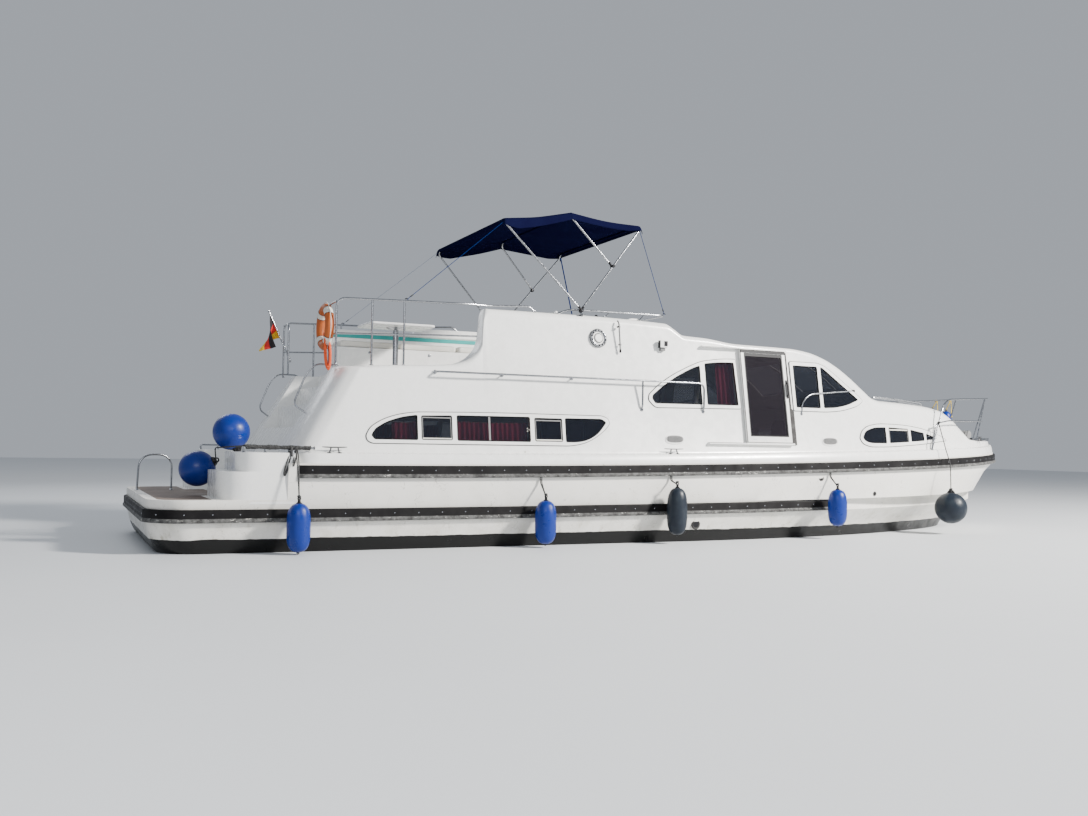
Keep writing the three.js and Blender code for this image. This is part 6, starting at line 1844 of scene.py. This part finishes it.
# %% Served line and hanks
def helix(path, radius, pitch):
    """Round a polyline: the point goes along by pitch in each turn, at radius from it, ten steps a turn."""
    path = np.asarray(path, float)
    far = far_along(path)
    s = np.arange(0, far[-1], pitch / 10)
    centre = placed(s, far, path)
    along = unit(np.gradient(centre, axis=0))
    side = unit(np.cross(along, [0.0, 0.3, 1.0]))
    over = np.cross(side, along)
    turn = 2 * np.pi * s / pitch
    thick = radius * (1 + 0.18 * np.sin(s / 37) + 0.1 * np.sin(s / 13))
    return centre + (side * np.cos(turn)[:, None] + over * np.sin(turn)[:, None]) * thick[:, None]


def hank(top, foot, width, turns, r, bound, seed=0.0):
    """Closed turns of line from top to foot, spread a little apart, with a wrapping at the height bound."""
    top, foot = np.asarray(top, float), np.asarray(foot, float)
    a = circle(48)
    loops = []
    for k in range(turns):
        shift = (k - (turns - 1) / 2) * r * 1.5
        length = 1 + 0.06 * math.sin(k * 2.1 + seed)
        down = (1 - np.cos(a)) / 2 * length
        belly = np.sin(a) * width * (0.55 + 0.45 * down) * (0.5 + 0.2 * math.sin(k + seed))
        points = top + (foot - top) * down[:, None]
        points[:, 0] += belly + 0.3 * shift
        points[:, 1] += shift
        loops.append(hoop(points, r))
    x, y, z = top + (foot - top) * bound
    for level in (-1.5, -0.5, 0.5, 1.5):
        wrap = [x + width * 0.55 * np.cos(a), y + turns * r * np.sin(a), 0 * a + z + level * r * 1.7]
        loops.append(hoop(np.column_stack(wrap), r))
    return weld(*loops)


served = helix([[-6168, -1880, 1214], [-5950, -1885, 1213], [-5430, -1898, 1206]], 19, 17)
wraps = [wire(served, 8.5), hank([-5650, -1925, 1205], [-5735, -1975, 905], 34, 5, 9, 0.22),
         hank([-5600, -1922, 1205], [-5640, -1990, 1010], 20, 3, 8, 0.3, 1.0)]
piece("quarter_rail_line", weld(*wraps), rope_dark, sharp=80)
piece("orange_line", hank([-5168, -1450, 2690], [-5140, -1455, 2190], 72, 11, 7, 0.2), rope_orange, sharp=80)
print("lines done")

# %% [markdown]
# ## Solids that stay
# Seven solids keep their own shape and only get a finish. Screw and rudder are under water, and the
# engine is a closed mass under the sole.

# %% Finishes for the solids that stay
KEPT = dict(platform_teak=teak, saloon_sole=ply, engine=iron, propeller=bronze, rudder=bronze,
    bimini_hinge_stbd=steel, bimini_hinge_port=steel)
for node, finish in KEPT.items():
    for place in bpy.data.objects[node].material_slots:
        place.material = finish.material
print("kept solids:", len(KEPT))

# %% [markdown]
# ## Floor and light
# The pale floor lies at the waterline and stands in for the water. A large soft lamp over the bow gives
# the sun's side, a second and third one fill the sides aft, and the world is a pale grey.

# %% Stage and light
floor = as_object("floor", ([(-60, -60, 0), (60, -60, 0), (60, 60, 0), (-60, 60, 0)],
    [np.array([[0, 1, 2, 3]])]))
floor_finish = plain("floor_paint", None, (0.62, 0.64, 0.66), 0.6, (0.58, 0.6, 0.62), (0.3, 0.7, 0.4, 0.4, 3))
floor.data.materials.append(floor_finish.material)


def lamp(name, place, size, power, colour):
    """An area light of a given size in metres, turned to look at a point over the boat's middle."""
    light = bpy.data.lights.new(name, "AREA")
    light.shape, light.size, light.size_y = "RECTANGLE", size[0], size[1]
    light.energy, light.color = power, colour
    thing = bpy.data.objects.new(name, light)
    bpy.context.scene.collection.objects.link(thing)
    back = np.array(place, float) - (0, 0, 1.5)
    back /= np.linalg.norm(back)
    side = np.cross([0, 0, 1], back)
    side /= np.linalg.norm(side)
    turn = np.eye(4)
    turn[:3, 0], turn[:3, 1], turn[:3, 2], turn[:3, 3] = side, np.cross(back, side), back, place
    thing.matrix_world = Matrix(turn.tolist())


lamp("sun_side", (15, -17, 15), (3.0, 3.0), 20000, (1.0, 0.97, 0.93))
lamp("near_side", (-9, -15, 7), (9, 6), 600, (0.95, 0.97, 1.0))
lamp("far_side", (-8, 14, 10), (9, 6), 500, (0.93, 0.96, 1.0))
world = bpy.data.worlds.new("studio")
world.use_nodes = True
world.node_tree.nodes["Background"].inputs["Color"].default_value = (0.8, 0.86, 0.95, 1)
world.node_tree.nodes["Background"].inputs["Strength"].default_value = 0.5
bpy.context.scene.world = world
